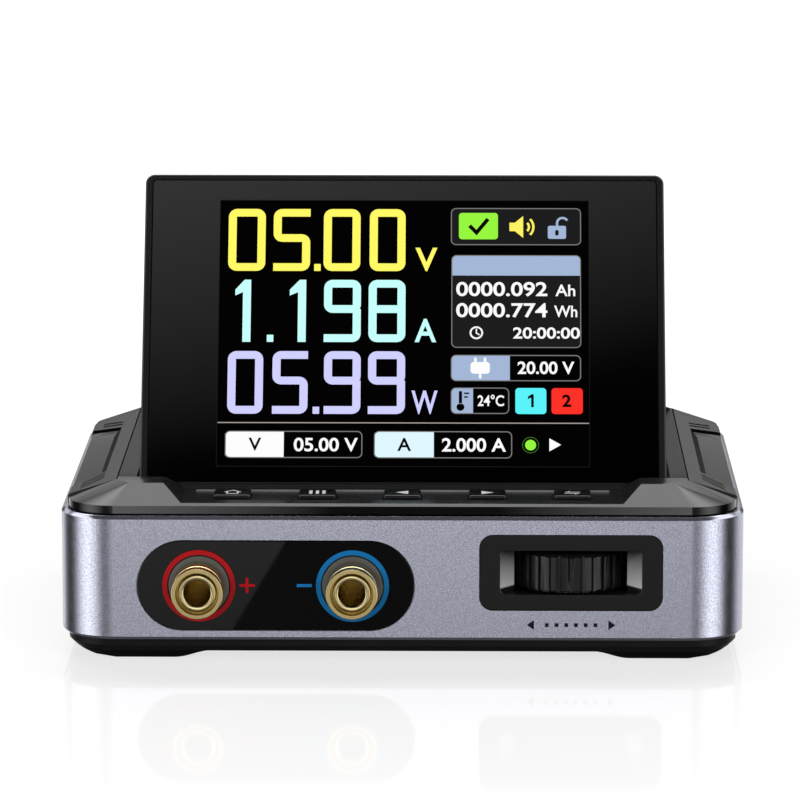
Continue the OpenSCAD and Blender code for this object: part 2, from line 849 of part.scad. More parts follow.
// A shallow arc through the rear edge, for lifting the display
module thumb_notch() {
    arc_r = (thumb_w * thumb_w / 4 + thumb_depth * thumb_depth) / (2 * thumb_depth);
    front_extrude(bay_rear - through, rear_y - bay_rear + 2 * through)
        translate([0, land_z - thumb_depth + arc_r]) circle(arc_r);
}

module ribbon_slot() {
    translate([ribbon_x - ribbon_w / 2 - 0.5, hinge_y - 0.8, bay_floor - 4])
        cube([ribbon_w + 1, 1.6, 4]);
}

// Terminals

module terminal_plate() {
    color([0.03, 0.03, 0.035])
    difference() {
        front_extrude(front_y, plate_t) plate_outline(0);
        socket_places() rotate([90, 0, 0])
            translate([0, 0, -front_y - plate_t - through])
                cylinder(r = flange_r + 0.05, h = plate_t + 2 * through);
    }
}

module colour_ring(x) {
    front_revolve(x, front_y, socket_z)
        translate([ring_r - ring_w, 0]) square([ring_w, ring_t]);
}

module ring_positive() {
    color([0.75, 0.08, 0.1]) colour_ring(socket_x[0]);
}

module ring_negative() {
    color([0.1, 0.45, 0.68]) colour_ring(socket_x[1]);
}

// Shouldered bush in front of the wall and a plain washer behind it
module insulator(x) {
    bore = shank_r + run_fit;
    collar = shank_r + 0.7;
    color([0.42, 0.41, 0.4]) {
        front_revolve(x, front_y, socket_z)
            polygon([
                [bore, -band_wall], [collar, -band_wall], [collar, -plate_t],
                [flange_r, -plate_t], [flange_r, flange_proud - 0.15],
                [flange_r - 0.15, flange_proud], [bore, flange_proud]
            ]);
        front_revolve(x, inner_front, socket_z)
            translate([bore, -washer_t]) square([4.4 - bore, washer_t]);
    }
}

module insulator_positive() {
    insulator(socket_x[0]);
}

module insulator_negative() {
    insulator(socket_x[1]);
}

// Turned brass socket: open mouth with a raised inner ridge, front barrel, shank and solder tail
module banana_socket(x) {
    mouth = socket_proud;
    shoulder = flange_proud;
    end = -(tail_y - front_y);
    ridge_r = 2.8;
    groove_r = 3.15;
    front_revolve(x, front_y, socket_z)
        polygon([
            [socket_bore_r, mouth - socket_bore_l], [socket_bore_r, mouth - 0.25],
            [socket_bore_r + 0.25, mouth], [ridge_r - 0.15, mouth], [ridge_r, mouth - 0.15],
            [ridge_r, mouth - 0.7], [groove_r, mouth - 0.7], [groove_r, mouth - 0.45],
            [socket_r - 0.3, mouth - 0.3], [socket_r, mouth - 0.7],
            [socket_r, shoulder + 0.3], [socket_r - 0.3, shoulder], [shank_r, shoulder],
            [shank_r, end], [0, end], [0, mouth - socket_bore_l]
        ]);
}

module socket_positive() {
    color([0.83, 0.66, 0.3]) banana_socket(socket_x[0]);
}

module socket_negative() {
    color([0.83, 0.66, 0.3]) banana_socket(socket_x[1]);
}

module socket_nuts() {
    color([0.7, 0.6, 0.35])
    for (x = socket_x) translate([x, inner_front + washer_t + nut_t, socket_z]) rotate([90, 0, 0])
        difference() {
            cylinder(r = nut_af / sqrt(3), h = nut_t, $fn = 6);
            translate([0, 0, -through]) cylinder(r = shank_r + run_fit, h = nut_t + 2 * through);
        }
}

// Bent brass tab from each socket's end down to the board
module output_tabs() {
    tab_w = 3.6;
    tab_t = 0.8;
    color([0.8, 0.65, 0.35])
    for (x = socket_x) translate([x - tab_w / 2, 0, 0]) {
        translate([0, tail_y, board_top]) cube([tab_w, tab_t, socket_z + 1.8 - board_top]);
        translate([0, tail_y, board_top]) cube([tab_w, tab_l, tab_t]);
    }
}

// Thumb wheel

// Opening of the bezel, narrower at the back because of the two ramps
module bezel_opening() {
    half_1 = window_w / 2;
    half_2 = window_w / 2 - ramp_run;
    corner = 0.9;
    intersection() {
        front_extrude(front_y - through, bezel_depth + 2 * through)
            rounded_rect(window_w, window_h, corner);
        translate([0, 0, -window_h]) linear_extrude(2 * window_h)
            polygon([
                [-half_1, front_y - through], [half_1, front_y - through], [half_1, front_y + 0.3],
                [half_2, front_y + bezel_depth], [half_2, front_y + bezel_depth + through],
                [-half_2, front_y + bezel_depth + through], [-half_2, front_y + bezel_depth],
                [-half_1, front_y + 0.3]
            ]);
    }
}

module wheel_bezel() {
    color([0.1, 0.1, 0.1])
    difference() {
        union() {
            front_extrude(front_y, bezel_depth) bezel_outline(0);
            front_extrude(inner_front, bezel_depth - band_wall)
                translate([wheel_x, bezel_z])
                    rounded_rect(bezel_w + 2 * bezel_lip, bezel_h + 1, bezel_r);
        }
        translate([wheel_x, 0, bezel_z]) bezel_opening();
    }
}

// Channel on the board in which the wheel's carrier slides front to back
module encoder_frame() {
    frame_w = carrier_w + 2 * rail_w + 2 * slip;
    frame_h = carrier_top - board_top - 0.2;
    slot_z = carrier_top - carrier_t - 0.05;
    color([0.13, 0.13, 0.14])
    translate([wheel_x, carrier_y, 0])
    difference() {
        translate([-frame_w / 2, -carrier_d / 2 - 0.8, board_top]) cube([frame_w, carrier_d + 2.1, frame_h]);
        translate([-carrier_w / 2 - slip, -carrier_d / 2 - 2, slot_z])
            cube([carrier_w + 2 * slip, carrier_d + 2.6 + push_travel, frame_h]);
        translate([-1.6, carrier_d / 2 - 1, slot_z - 1.2])
            cube([3.2, 4, 4]);
    }
}

module wheel_carrier() {
    color([0.16, 0.16, 0.17])
    translate([wheel_x, wheel_y, carrier_top - carrier_t])
    difference() {
        union() {
            translate([-carrier_w / 2, carrier_y - wheel_y - carrier_d / 2, 0])
                cube([carrier_w, carrier_d, carrier_t]);
            cylinder(r = hub_r, h = carrier_t + 0.25);
        }
        translate([0, 0, -through]) cylinder(r = axle_r + press_gap, h = carrier_t + 3);
    }
}

module wheel_axle() {
    color([0.75, 0.76, 0.78])
    translate([wheel_x, wheel_y, carrier_top - carrier_t])
    rotate_extrude()
        polygon([
            [0, 0], [axle_r, 0], [axle_r, carrier_t + wheel_t - 0.35],
            [axle_r - 0.3, carrier_t + wheel_t - 0.35], [axle_r - 0.3, carrier_t + wheel_t + 0.15],
            [0, carrier_t + wheel_t + 0.15]
        ]);
}

// Spring clip in the groove at the top of the axle, sunk in the wheel's recess
module axle_clip() {
    color([0.5, 0.5, 0.52])
    translate([wheel_x, wheel_y, carrier_top + wheel_t - 0.35])
    difference() {
        cylinder(r = axle_r + 0.8, h = 0.4);
        translate([0, 0, -through]) cylinder(r = axle_r - 0.3 + press_gap, h = 3);
        translate([0, -0.7, -through]) cube([5, 1.4, 3]);
    }
}

// Half section of the wheel or of one ridge, out to a radius, with both edges chamfered
module wheel_section(from_r, to_r) {
    edge = 0.35;
    polygon([
        [from_r, 0], [to_r - edge, 0], [to_r, edge], [to_r, wheel_t - edge], [to_r - edge, wheel_t],
        [from_r, wheel_t]
    ]);
}

module knurled_wheel() {
    drum_r = wheel_r - ridge_h;
    color([0.12, 0.12, 0.125])
    translate([wheel_x, wheel_y, wheel_low])
    difference() {
        union() {
            rotate_extrude() wheel_section(0, drum_r);
            for (i = [0 : ridge_count - 1]) rotate(360 * (i + 0.5) / ridge_count)
                rotate([90, 0, 0]) linear_extrude(ridge_w, center = true) wheel_section(hub_r + 1, wheel_r);
        }
        translate([0, 0, -through]) cylinder(r = axle_r + run_fit, h = wheel_t + 2 * through);
        translate([0, 0, wheel_t - 0.75]) cylinder(r = hub_r + 0.2, h = wheel_t);
    }
}

// Tact switch that the pushed carrier closes
module push_switch() {
    face_y = carrier_y + carrier_d / 2 + push_travel + 0.05;
    color([0.6, 0.6, 0.62])
    translate([wheel_x, face_y, carrier_top - carrier_t / 2]) {
        translate([-switch_w / 2, 1.3, board_top - carrier_top + carrier_t / 2])
            cube([switch_w, 2, carrier_top - board_top + 0.8]);
        rotate([-90, 0, 0]) cylinder(r = 0.9, h = 1.4);
    }
}

// Keys

module menu_key(i) {
    x = (i - 2) * key_pitch;
    color([0.09, 0.09, 0.095])
    translate([x, key_y, 0]) {
        translate([0, 0, flange_z + flange_t - sliver])
            rounded_block(key_w, key_d, strip_z + key_proud - flange_z - flange_t + sliver, 0.5);
        translate([0, 0, flange_z])
            rounded_block(key_w + 2 * flange_lip, key_d + 2 * flange_lip, flange_t, 0.7);
        translate([0, 0, flange_z - stem_l]) cylinder(r = 0.9, h = stem_l + sliver);
    }
}

module key_home() {
    menu_key(0);
}

module key_memory() {
    menu_key(1);
}

module key_left() {
    menu_key(2);
}

module key_right() {
    menu_key(3);
}

module key_swap() {
    menu_key(4);
}

module key_switches() {
    color([0.7, 0.7, 0.72])
    key_places() translate([0, 0, switch_z]) {
        rounded_block(switch_w, switch_w, switch_h, 0.5);
        cylinder(r = 1.1, h = switch_h + plunger_h);
    }
}

module key_board() {
    color([0.05, 0.25, 0.12])
    difference() {
        translate([-key_board_w / 2, key_board_front, key_board_z])
            cube([key_board_w, key_board_rear - key_board_front, key_board_t]);
        for (sx = [-1, 1]) translate([sx * key_screw_x, key_y, key_board_z - through])
            cylinder(r = screw_r + 0.1, h = key_board_t + 2 * through);
    }
}

// Screw with a flat head below Z = 0 and its shank above, with a hexagon socket
module pan_screw(head_r, head_h, length) {
    difference() {
        rotate_extrude()
            polygon([
                [0, -head_h], [head_r - 0.25, -head_h], [head_r, -head_h + 0.25], [head_r, 0],
                [screw_r, 0], [screw_r, length - 0.3], [screw_r - 0.3, length], [0, length]
            ]);
        translate([0, 0, -head_h - through]) cylinder(r = 0.75, h = 0.6 + through, $fn = 6);
    }
}

module key_board_screws() {
    head_r = screw_head_r - 0.2;
    head_h = 0.9;
    length = 4;
    color([0.55, 0.56, 0.58])
    for (sx = [-1, 1]) translate([sx * key_screw_x, key_y, key_board_z]) pan_screw(head_r, head_h, length);
}

// Display, drawn lying flat with the hinge axis at the origin, then tilted up

module tilted() {
    translate([0, hinge_y, hinge_z]) rotate([tilt_angle, 0, 0]) children();
}

module window_plan(gap) {
    w = display_w - 2 * rim_side;
    h = display_h - rim_top - rim_bottom;
    translate([0, display_foot + rim_bottom + h / 2]) rounded_rect(w - 2 * gap, h - 2 * gap, 0.6);
}

// A flat piece inside the display, from one distance from the hinge axis to another
module display_slab(low, high, w, z, t, r) {
    translate([0, (low + high) / 2, z]) rounded_block(w, high - low, t, r);
}

module display_housing() {
    back_edge = 1.6;
    color([0.08, 0.08, 0.085])
    tilted()
    difference() {
        union() {
            translate([0, display_foot + display_h / 2, display_back])
                chamfered_block(display_w, display_h, display_t, display_r, 1.2, 0.25);
            rotate([90, 0, 90]) linear_extrude(display_w - 2, center = true) circle(barrel_r);
        }
        translate([0, 0, barrel_r - window_t]) linear_extrude(window_t + through) window_plan(0);
        display_slab(cavity_low, cavity_top, display_w - 6, cavity_z, display_t, 1.2);
        for (m = [0, 1]) mirror([m, 0, 0])
            translate([display_w / 2 - pin_grip - 1, 0, 0]) rotate([90, 0, 90])
                linear_extrude(pin_grip + 4) circle(bush_r);
    }
}

module display_window() {
    color([0.02, 0.02, 0.02])
    tilted() translate([0, 0, barrel_r - window_t]) linear_extrude(window_t) window_plan(0.1);
}

module display_panel() {
    frame = 4.5;
    w = active_w + 2 * frame;
    color([0.15, 0.17, 0.2])
    tilted() display_slab(panel_low, panel_top, w, barrel_r - window_t - panel_t, panel_t, 0.8);
}

module display_board() {
    color([0.05, 0.25, 0.12])
    tilted() display_slab(panel_low + 3, panel_top - 3, active_w + 6, cavity_z, display_board_t, 0.6);
}

module hinge_bush(side) {
    color([0.72, 0.5, 0.28])
    mirror([side < 0 ? 1 : 0, 0, 0])
        translate([display_w / 2 - pin_grip - 1, hinge_y, hinge_z]) rotate([90, 0, 90])
            difference() {
                cylinder(r = bush_r - press_gap, h = pin_grip);
                translate([0, 0, -through]) cylinder(r = pin_r + run_fit, h = pin_grip + 2 * through);
            }
}

module hinge_bush_left() {
    hinge_bush(-1);
}

module hinge_bush_right() {
    hinge_bush(1);
}

module hinge_pin(side) {
    color([0.75, 0.76, 0.78])
    mirror([side < 0 ? 1 : 0, 0, 0])
        translate([display_w / 2 - pin_grip - 0.5, hinge_y, hinge_z]) rotate([90, 0, 90])
            cylinder(r = pin_r, h = boss_end - display_w / 2 + pin_grip + 0.5);
}

module hinge_pin_left() {
    hinge_pin(-1);
}

module hinge_pin_right() {
    hinge_pin(1);
}

// Flat cable from its socket on the board up through the trough
module ribbon_cable() {
    connector_h = 2;
    connector_d = 3;
    connector_end = 1;
    color([0.75, 0.6, 0.35]) {
        translate([ribbon_x - ribbon_w / 2 - connector_end, hinge_y - connector_d / 2, board_top])
            cube([ribbon_w + 2 * connector_end, connector_d, connector_h]);
        translate([ribbon_x - ribbon_w / 2, hinge_y - ribbon_t / 2, board_top + connector_h - sliver])
            cube([ribbon_w, ribbon_t, hinge_z - trough_r - board_top - connector_h]);
    }
}

// Boards and parts on them

module main_board() {
    color([0.05, 0.25, 0.12])
    difference() {
        translate([-board_half, board_front, board_z])
            cube([2 * board_half, board_rear - board_front, board_t]);
        at_board_screws() translate([0, 0, board_z - through])
            cylinder(r = screw_r + 0.15, h = board_t + 2 * through);
    }
}

module board_screws() {
    head_r = 1.8;
    head_h = 1.1;
    color([0.55, 0.56, 0.58])
    at_board_screws() translate([0, 0, board_top]) mirror([0, 0, 1]) pan_screw(head_r, head_h, post_h + 1);
}

// Square chip with a row of leads along each side
module control_chip() {
    height = 1.3;
    leads = 8;
    lead_pitch = 0.8;
    color([0.08, 0.08, 0.09])
    translate([chip_x, chip_y, board_top + 0.1]) {
        translate([-chip_w / 2, -chip_w / 2, 0]) cube([chip_w, chip_w, height]);
        for (a = [0 : 90 : 270]) rotate(a) for (i = [0 : leads - 1])
            translate([chip_w / 2 - 0.1, (i - (leads - 1) / 2) * lead_pitch - 0.15, -0.1])
                cube([1, 0.3, 0.35]);
    }
}

module heat_sink() {
    base_h = 2;
    fin_h = 7;
    fin_t = 1;
    color([0.65, 0.66, 0.68])
    translate([sink_x, sink_y, board_top]) {
        cube([sink_w, sink_d, base_h]);
        for (i = [0 : fin_count - 1])
            translate([0, i * (sink_d - fin_t) / (fin_count - 1), base_h - sliver])
                cube([sink_w, fin_t, fin_h]);
    }
}

// Shielded inductor with chamfered edges
module inductor(y) {
    color([0.25, 0.25, 0.27])
    translate([inductor_x, y, board_top])
        chamfered_block(inductor_w, inductor_w, inductor_h, 1.6, 0.3, 0.8);
}

module inductor_input() {
    inductor(inductor_y[0]);
}

module inductor_output() {
    inductor(inductor_y[1]);
}

// Can capacitor: sleeve, rolled shoulder and scored top
module capacitor(x) {
    r = capacitor_r;
    h = capacitor_h;
    color([0.75, 0.76, 0.78])
    translate([x, capacitor_y, board_top]) difference() {
        rotate_extrude()
            polygon([
                [0, 0], [r, 0], [r, 1.2], [r - 0.3, 1.5], [r, 1.8], [r, h - 0.4], [r - 0.4, h], [0, h]
            ]);
        for (a = [0, 90]) rotate(a) translate([-r / 2, -0.1, h - 0.3]) cube([r, 0.2, 1]);
    }
}

module capacitor_1() {
    capacitor(capacitor_x[0]);
}

module capacitor_2() {
    capacitor(capacitor_x[1]);
}

module capacitor_3() {
    capacitor(capacitor_x[2]);
}

// Blower

module scroll_outline() {
    circle(scroll_r);
    translate([scroll_r - outlet_w, 0]) square([outlet_w, fan_w / 2 + through]);
}

module at_fan_screws() {
    for (s = [-1, 1])
        translate([fan_x + s * (fan_w / 2 - fan_screw_inset), fan_y - s * (fan_w / 2 - fan_screw_inset), 0])
            children();
}

module fan_housing() {
    eye_r = 8;
    nozzle_l = inner_rear - fan_y - fan_w / 2;
    color([0.09, 0.09, 0.095])
    difference() {
        union() {
            translate([fan_x, fan_y, fan_z]) rounded_block(fan_w, fan_w, fan_t, 2.5);
            translate([outlet_x - fan_wall, fan_y + fan_w / 2 - 3, fan_z])
                cube([outlet_w + 2 * fan_wall, nozzle_l + 2.9, fan_t]);
        }
        difference() {
            translate([fan_x, fan_y, fan_z + fan_wall])
                linear_extrude(fan_t - 2 * fan_wall) scroll_outline();
            translate([fan_x, fan_y, fan_z]) cylinder(r = rotor_pin_r, h = fan_t - fan_wall - 0.6);
        }
        translate([outlet_x, fan_y + fan_w / 2 - through, fan_z + fan_wall])
            cube([outlet_w, nozzle_l + 3 * through, fan_t - 2 * fan_wall]);
        translate([fan_x, fan_y, fan_z + fan_t - fan_wall - through]) cylinder(r = eye_r, h = 3 * through);
        at_fan_screws() translate([0, 0, fan_z - through])
            cylinder(r = screw_r + 0.1, h = fan_t + 2 * through);
    }
}

// Blower wheel: cup-shaped hub, back plate and forward-leaning blades
module fan_rotor() {
    gap = 0.4;
    height = fan_t - 2 * fan_wall - 2 * gap;
    low = fan_z + fan_wall + gap;
    blade_t = 0.5;
    color([0.14, 0.14, 0.15])
    translate([fan_x, fan_y, low]) difference() {
        union() {
            cylinder(r = rotor_r - 0.2, h = 0.8);
            rotate_extrude()
                polygon([[0, 0], [5.2, 0], [5.2, height - 0.5], [4.7, height], [0, height]]);
            for (i = [0 : blade_count - 1]) rotate(360 * i / blade_count)
                translate([rotor_r - 3.4, 0, 0]) rotate(28) translate([0, -blade_t / 2, 0])
                    cube([3.4, blade_t, height]);
        }
        translate([0, 0, -through]) cylinder(r = rotor_pin_r + run_fit, h = height + 2 * through);
    }
}

module fan_screws() {
    color([0.55, 0.56, 0.58])
    at_fan_screws() translate([0, 0, fan_z + fan_t]) mirror([0, 0, 1]) pan_screw(1.7, 1, fan_t);
}

// Rear inlets

module usb_inlet() {
    shell_t = 0.3;
    out_y = rear_y - 0.6;
    color([0.72, 0.73, 0.75])
    translate([usb_x, 0, usb_z]) {
        difference() {
            front_extrude(out_y - usb_l, usb_l) stadium(usb_w, usb_h);
            front_extrude(out_y - usb_l + 1, usb_l) stadium(usb_w - 2 * shell_t, usb_h - 2 * shell_t);
        }
        translate([-3.35, out_y - usb_l + 1 - sliver, -0.35]) cube([6.7, usb_l - 1.8, 0.7]);
    }
}

// Low-voltage barrel inlet with its centre pin
module dc_inlet() {
    body_w2 = 9;
    out_y = inner_rear - 0.05;
    length = 13.2;
    bore = 9;
    pin_r = 1.25;
    color([0.1, 0.1, 0.1])
    difference() {
        union() {
            translate([dc_x - body_w2 / 2, out_y - length, board_top]) cube([body_w2, length, dc_body_h]);
            front_extrude(out_y - sliver, band_wall - 0.5) translate([dc_x, dc_z]) circle(dc_hole_r + 0.75);
        }
        difference() {
            front_extrude(out_y - bore, bore + 3 * through) translate([dc_x, dc_z]) circle(dc_hole_r);
            front_extrude(out_y - bore, bore) translate([dc_x, dc_z]) circle(pin_r);
        }
    }
}

base_tray();
rubber_feet();
case_screws();
side_band();
top_cover();
terminal_plate();
ring_positive();
ring_negative();
insulator_positive();
insulator_negative();
socket_positive();
socket_negative();
socket_nuts();
output_tabs();
wheel_bezel();
encoder_frame();
wheel_carrier();
wheel_axle();
axle_clip();
knurled_wheel();
push_switch();
key_home();
key_memory();
key_left();
key_right();
key_swap();
key_switches();
key_board();
key_board_screws();
display_housing();
display_window();
display_panel();
display_board();
hinge_bush_left();
hinge_bush_right();
hinge_pin_left();
hinge_pin_right();
ribbon_cable();
main_board();
board_screws();
control_chip();
heat_sink();
inductor_input();
inductor_output();
capacitor_1();
capacitor_2();
capacitor_3();
fan_housing();
fan_rotor();
fan_screws();
usb_inlet();
dc_inlet();
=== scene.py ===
from math import cos, pi, radians, sin

import bpy
from mathutils import Matrix, Vector


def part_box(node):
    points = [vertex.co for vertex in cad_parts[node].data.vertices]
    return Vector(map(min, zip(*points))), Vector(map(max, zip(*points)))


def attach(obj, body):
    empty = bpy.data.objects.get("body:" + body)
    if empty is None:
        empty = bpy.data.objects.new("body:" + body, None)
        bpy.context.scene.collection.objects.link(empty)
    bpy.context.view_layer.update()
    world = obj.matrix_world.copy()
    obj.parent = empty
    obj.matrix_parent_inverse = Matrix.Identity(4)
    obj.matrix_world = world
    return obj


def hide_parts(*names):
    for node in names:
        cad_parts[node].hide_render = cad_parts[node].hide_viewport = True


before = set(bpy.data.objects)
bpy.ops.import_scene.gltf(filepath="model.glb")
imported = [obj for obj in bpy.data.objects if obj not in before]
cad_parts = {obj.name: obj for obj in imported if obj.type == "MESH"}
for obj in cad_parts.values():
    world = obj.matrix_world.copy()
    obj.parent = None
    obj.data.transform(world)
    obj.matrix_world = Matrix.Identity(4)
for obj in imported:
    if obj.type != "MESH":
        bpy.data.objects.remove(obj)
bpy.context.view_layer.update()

MM = 0.001

# Base tray
# A black moulded tray closes the case from below. Its fine grain comes from the spark-eroded mould,
# its ribs stiffen the floor between the feet, and its lip locates it inside the metal band.


def new_finish(name, colour, roughness, metallic=0.0, specular=0.5):
    material = bpy.data.materials.new(name)
    material.use_nodes = True
    shader = material.node_tree.nodes["Principled BSDF"]
    shader.inputs["Base Color"].default_value = (*colour, 1)
    shader.inputs["Roughness"].default_value = roughness
    shader.inputs["Metallic"].default_value = metallic
    shader.inputs["Specular IOR Level"].default_value = specular
    return material


def add_noise(material, scale, detail=2.0, stretch=(1, 1, 1)):
    nodes, links = material.node_tree.nodes, material.node_tree.links
    place = nodes.new("ShaderNodeTexCoord")
    turn = nodes.new("ShaderNodeMapping")
    turn.inputs["Scale"].default_value = stretch
    noise = nodes.new("ShaderNodeTexNoise")
    noise.inputs["Scale"].default_value = scale
    noise.inputs["Detail"].default_value = detail
    links.new(place.outputs["Object"], turn.inputs["Vector"])
    links.new(turn.outputs["Vector"], noise.inputs["Vector"])
    return noise.outputs["Fac"]


def vary_colour(material, noise, low, high):
    nodes, links = material.node_tree.nodes, material.node_tree.links
    ramp = nodes.new("ShaderNodeValToRGB")
    for stop, position, colour in zip(ramp.color_ramp.elements, (0.3, 0.7), (low, high)):
        stop.position = position
        stop.color = (*colour, 1)
    links.new(noise, ramp.inputs["Fac"])
    links.new(ramp.outputs["Color"], nodes["Principled BSDF"].inputs["Base Color"])


def vary_polish(material, noise, low, high):
    nodes, links = material.node_tree.nodes, material.node_tree.links
    span = nodes.new("ShaderNodeMapRange")
    for socket, value in (("From Min", 0.3), ("From Max", 0.7), ("To Min", low), ("To Max", high)):
        span.inputs[socket].default_value = value
    links.new(noise, span.inputs["Value"])
    links.new(span.outputs["Result"], nodes["Principled BSDF"].inputs["Roughness"])


def emboss(material, noise, strength, depth):
    nodes, links = material.node_tree.nodes, material.node_tree.links
    bump = nodes.new("ShaderNodeBump")
    bump.inputs["Strength"].default_value = strength
    bump.inputs["Distance"].default_value = depth
    links.new(noise, bump.inputs["Height"])
    links.new(bump.outputs["Normal"], nodes["Principled BSDF"].inputs["Normal"])


def toned(colour, share):
    return [c * share for c in colour]


def moulded(name, colour, roughness, grain=3200, depth=0.00003, specular=0.5):
    """Plastic or rubber: slightly mottled, a little uneven in polish, with the mould's grain."""
    mottle_scale, polish_scale, grain_strength = 160, 420, 0.35
    material = new_finish(name, colour, roughness, specular=specular)
    mottle = add_noise(material, mottle_scale, 3)
    vary_colour(material, mottle, toned(colour, 0.92), toned(colour, 1.08))
    vary_polish(material, add_noise(material, polish_scale), roughness * 0.96, roughness * 1.05)
    emboss(material, add_noise(material, grain), grain_strength, depth)
    return material


def select_only(piece):
    bpy.ops.object.select_all(action="DESELECT")
    piece.select_set(True)
    bpy.context.view_layer.objects.active = piece


def soften(node, name, edge, body, material, smooth=32):
    """A merged copy of a solid, with the small radius that mould or tool leaves on its edges."""
    piece = bpy.data.objects.new(name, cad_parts[node].data.copy())
    bpy.context.collection.objects.link(piece)
    piece.data.materials.clear()
    piece.data.materials.append(material)
    select_only(piece)
    bpy.ops.object.mode_set(mode="EDIT")
    bpy.ops.mesh.select_all(action="SELECT")
    bpy.ops.mesh.remove_doubles(threshold=0.003 * MM)
    bpy.ops.mesh.dissolve_limited(angle_limit=radians(0.6))
    bpy.ops.object.mode_set(mode="OBJECT")
    if edge:
        bevel = piece.modifiers.new("edge", "BEVEL")
        bevel.width = edge
        bevel.segments = 2
        bevel.limit_method = "ANGLE"
        bevel.angle_limit = radians(30)
        bevel.use_clamp_overlap = True
        bpy.ops.object.modifier_apply(modifier="edge")
    bpy.ops.object.shade_smooth_by_angle(angle=radians(smooth))
    even = piece.modifiers.new("even_shading", "WEIGHTED_NORMAL")
    even.keep_sharp = True
    bpy.ops.object.modifier_apply(modifier="even_shading")
    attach(piece, body)
    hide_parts(node)
    return piece


base_black = moulded("base_black", (0.007, 0.007, 0.008), 0.42, specular=0.14)
soften("base_tray", "base_shell", 0.12 * MM, "case", base_black)

# Feet
# Four broad rubber feet with a flat sole and a swept inner end are glued under the corners of the
# tray. The rubber is smooth, matt and a little dusty.

foot_rubber = moulded("foot_rubber", (0.004, 0.004, 0.004), 0.6, 1500, 0.00002, 0.08)
soften("rubber_feet", "corner_feet", 0.1 * MM, "case", foot_rubber)

# Case screws
# Four zinc-plated hexagon-socket screws go up through the tray's towers into the cover's posts.
# Their heads are sunk into the tray's underside.


def bare_metal(name, colour, roughness, polish, scale, detail=2.0, stretch=(1, 1, 1)):
    """Metal whose polish varies between two values, in streaks where the noise is stretched."""
    material = new_finish(name, colour, roughness, 1.0)
    vary_polish(material, add_noise(material, scale, detail, stretch), *polish)
    return material


def dress(material, *nodes):
    """Gives solids whose shape is kept a finish of their own."""
    for node in nodes:
        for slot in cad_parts[node].material_slots:
            slot.material = material


zinc = bare_metal("zinc_plate", (0.42, 0.42, 0.44), 0.32, (0.26, 0.42), 900, 3)
dress(zinc, "case_screws")

# Side band
# An extruded aluminium band forms the four walls. It is sandblasted and anodised a cool grey, so it
# sparkles finely, and a bright turned chamfer runs along both of its edges.

anodised = (0.45, 0.46, 0.55)
aluminium = new_finish("sandblasted_aluminium", anodised, 0.24, 1.0)
sand = add_noise(aluminium, 8000, 1)
vary_colour(aluminium, sand, toned(anodised, 0.65), toned(anodised, 1.35))
vary_polish(aluminium, add_noise(aluminium, 600), 0.22, 0.26)
emboss(aluminium, sand, 0.1, 0.00002)
band = soften("side_band", "anodised_band", 0.05 * MM, "case", aluminium)
cut_edge = bare_metal("cut_edge", anodised, 0.12, (0.1, 0.15), 900, 2, (0.2, 0.2, 1))
band.data.materials.append(cut_edge)
for face in band.data.polygons:
    if 0.5 < abs(face.normal.z) < 0.9:
        face.material_index = 1

# Terminal plate
# A polished black moulding with round ends is let into the band, flush with its face, and carries
# both sockets. The plus and minus signs beside them are printed on it in red and blue.


def polished(name, colour, roughness, specular, polish, scale, detail=3.0):
    """Plastic, glass or ink whose polish varies between two values."""
    material = new_finish(name, colour, roughness, specular=specular)
    vary_polish(material, add_noise(material, scale, detail), *polish)
    return material


front_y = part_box("terminal_plate")[0].y
gloss_black = polished("polished_black", (0.001, 0.001, 0.001), 0.01, 0.29, (0.008, 0.014), 240)
plate = soften("terminal_plate", "socket_plate", 0.1 * MM, "case", gloss_black)
bpy.ops.mesh.customdata_custom_splitnormals_clear()
for face in plate.data.polygons:
    face.use_smooth = face.use_smooth and face.normal.y > -0.999

ink_thick = 0.02 * MM


def on_front(piece, x, y, z, turn=0):
    """Stands a flat print up against the front face, turned in its own plane by some degrees."""
    piece.data.transform(Matrix.Translation((x, y, z)) @ Matrix.Rotation(radians(90), 4, "X")
                         @ Matrix.Rotation(radians(turn), 4, "Z"))
    return piece


def flat_bar(name, x, z, w, h, y, ink):
    bpy.ops.object.select_all(action="DESELECT")
    bpy.ops.mesh.primitive_plane_add(size=1, location=(0, 0, 0))
    piece = bpy.context.object
    piece.name = name
    piece.data.materials.append(ink)
    bpy.ops.object.mode_set(mode="EDIT")
    bpy.ops.mesh.select_all(action="SELECT")
    bpy.ops.transform.resize(value=(w, h, 1))
    bpy.ops.mesh.bevel(offset=min(w, h) * 0.08, segments=2, affect="VERTICES")
    bpy.ops.mesh.select_all(action="SELECT")
    bpy.ops.mesh.extrude_region_move(TRANSFORM_OT_translate={"value": (0, 0, ink_thick)})
    bpy.ops.object.mode_set(mode="OBJECT")
    return on_front(piece, x, y, z)


def join(pieces, name):
    bpy.ops.object.select_all(action="DESELECT")
    for piece in pieces:
        piece.select_set(True)
    bpy.context.view_layer.objects.active = pieces[0]
    bpy.ops.object.join()
    pieces[0].name = name
    return pieces[0]


def printed(name, colour):
    return polished(name, colour, 0.45, 0.15, (0.38, 0.52), 900, 2)


print_red = printed("print_red", (0.7, 0.01, 0.018))
print_blue = printed("print_blue", (0.012, 0.28, 0.78))
plus_x, minus_x, sign_z = -23.5 * MM, -14.8 * MM, 12.05 * MM
sign_w, plus_stroke = 2.35 * MM, 0.42 * MM
overprint_y = front_y - 0.004 * MM
plus = join([
    flat_bar("plus_across", plus_x, sign_z, sign_w, plus_stroke, front_y, print_red),
    flat_bar("plus_up", plus_x, sign_z, plus_stroke, sign_w, overprint_y, print_red),
], "plus_sign")
minus = flat_bar("minus_sign", minus_x, sign_z, 2.3 * MM, 0.46 * MM, front_y, print_blue)
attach(plus, "case")
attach(minus, "case")

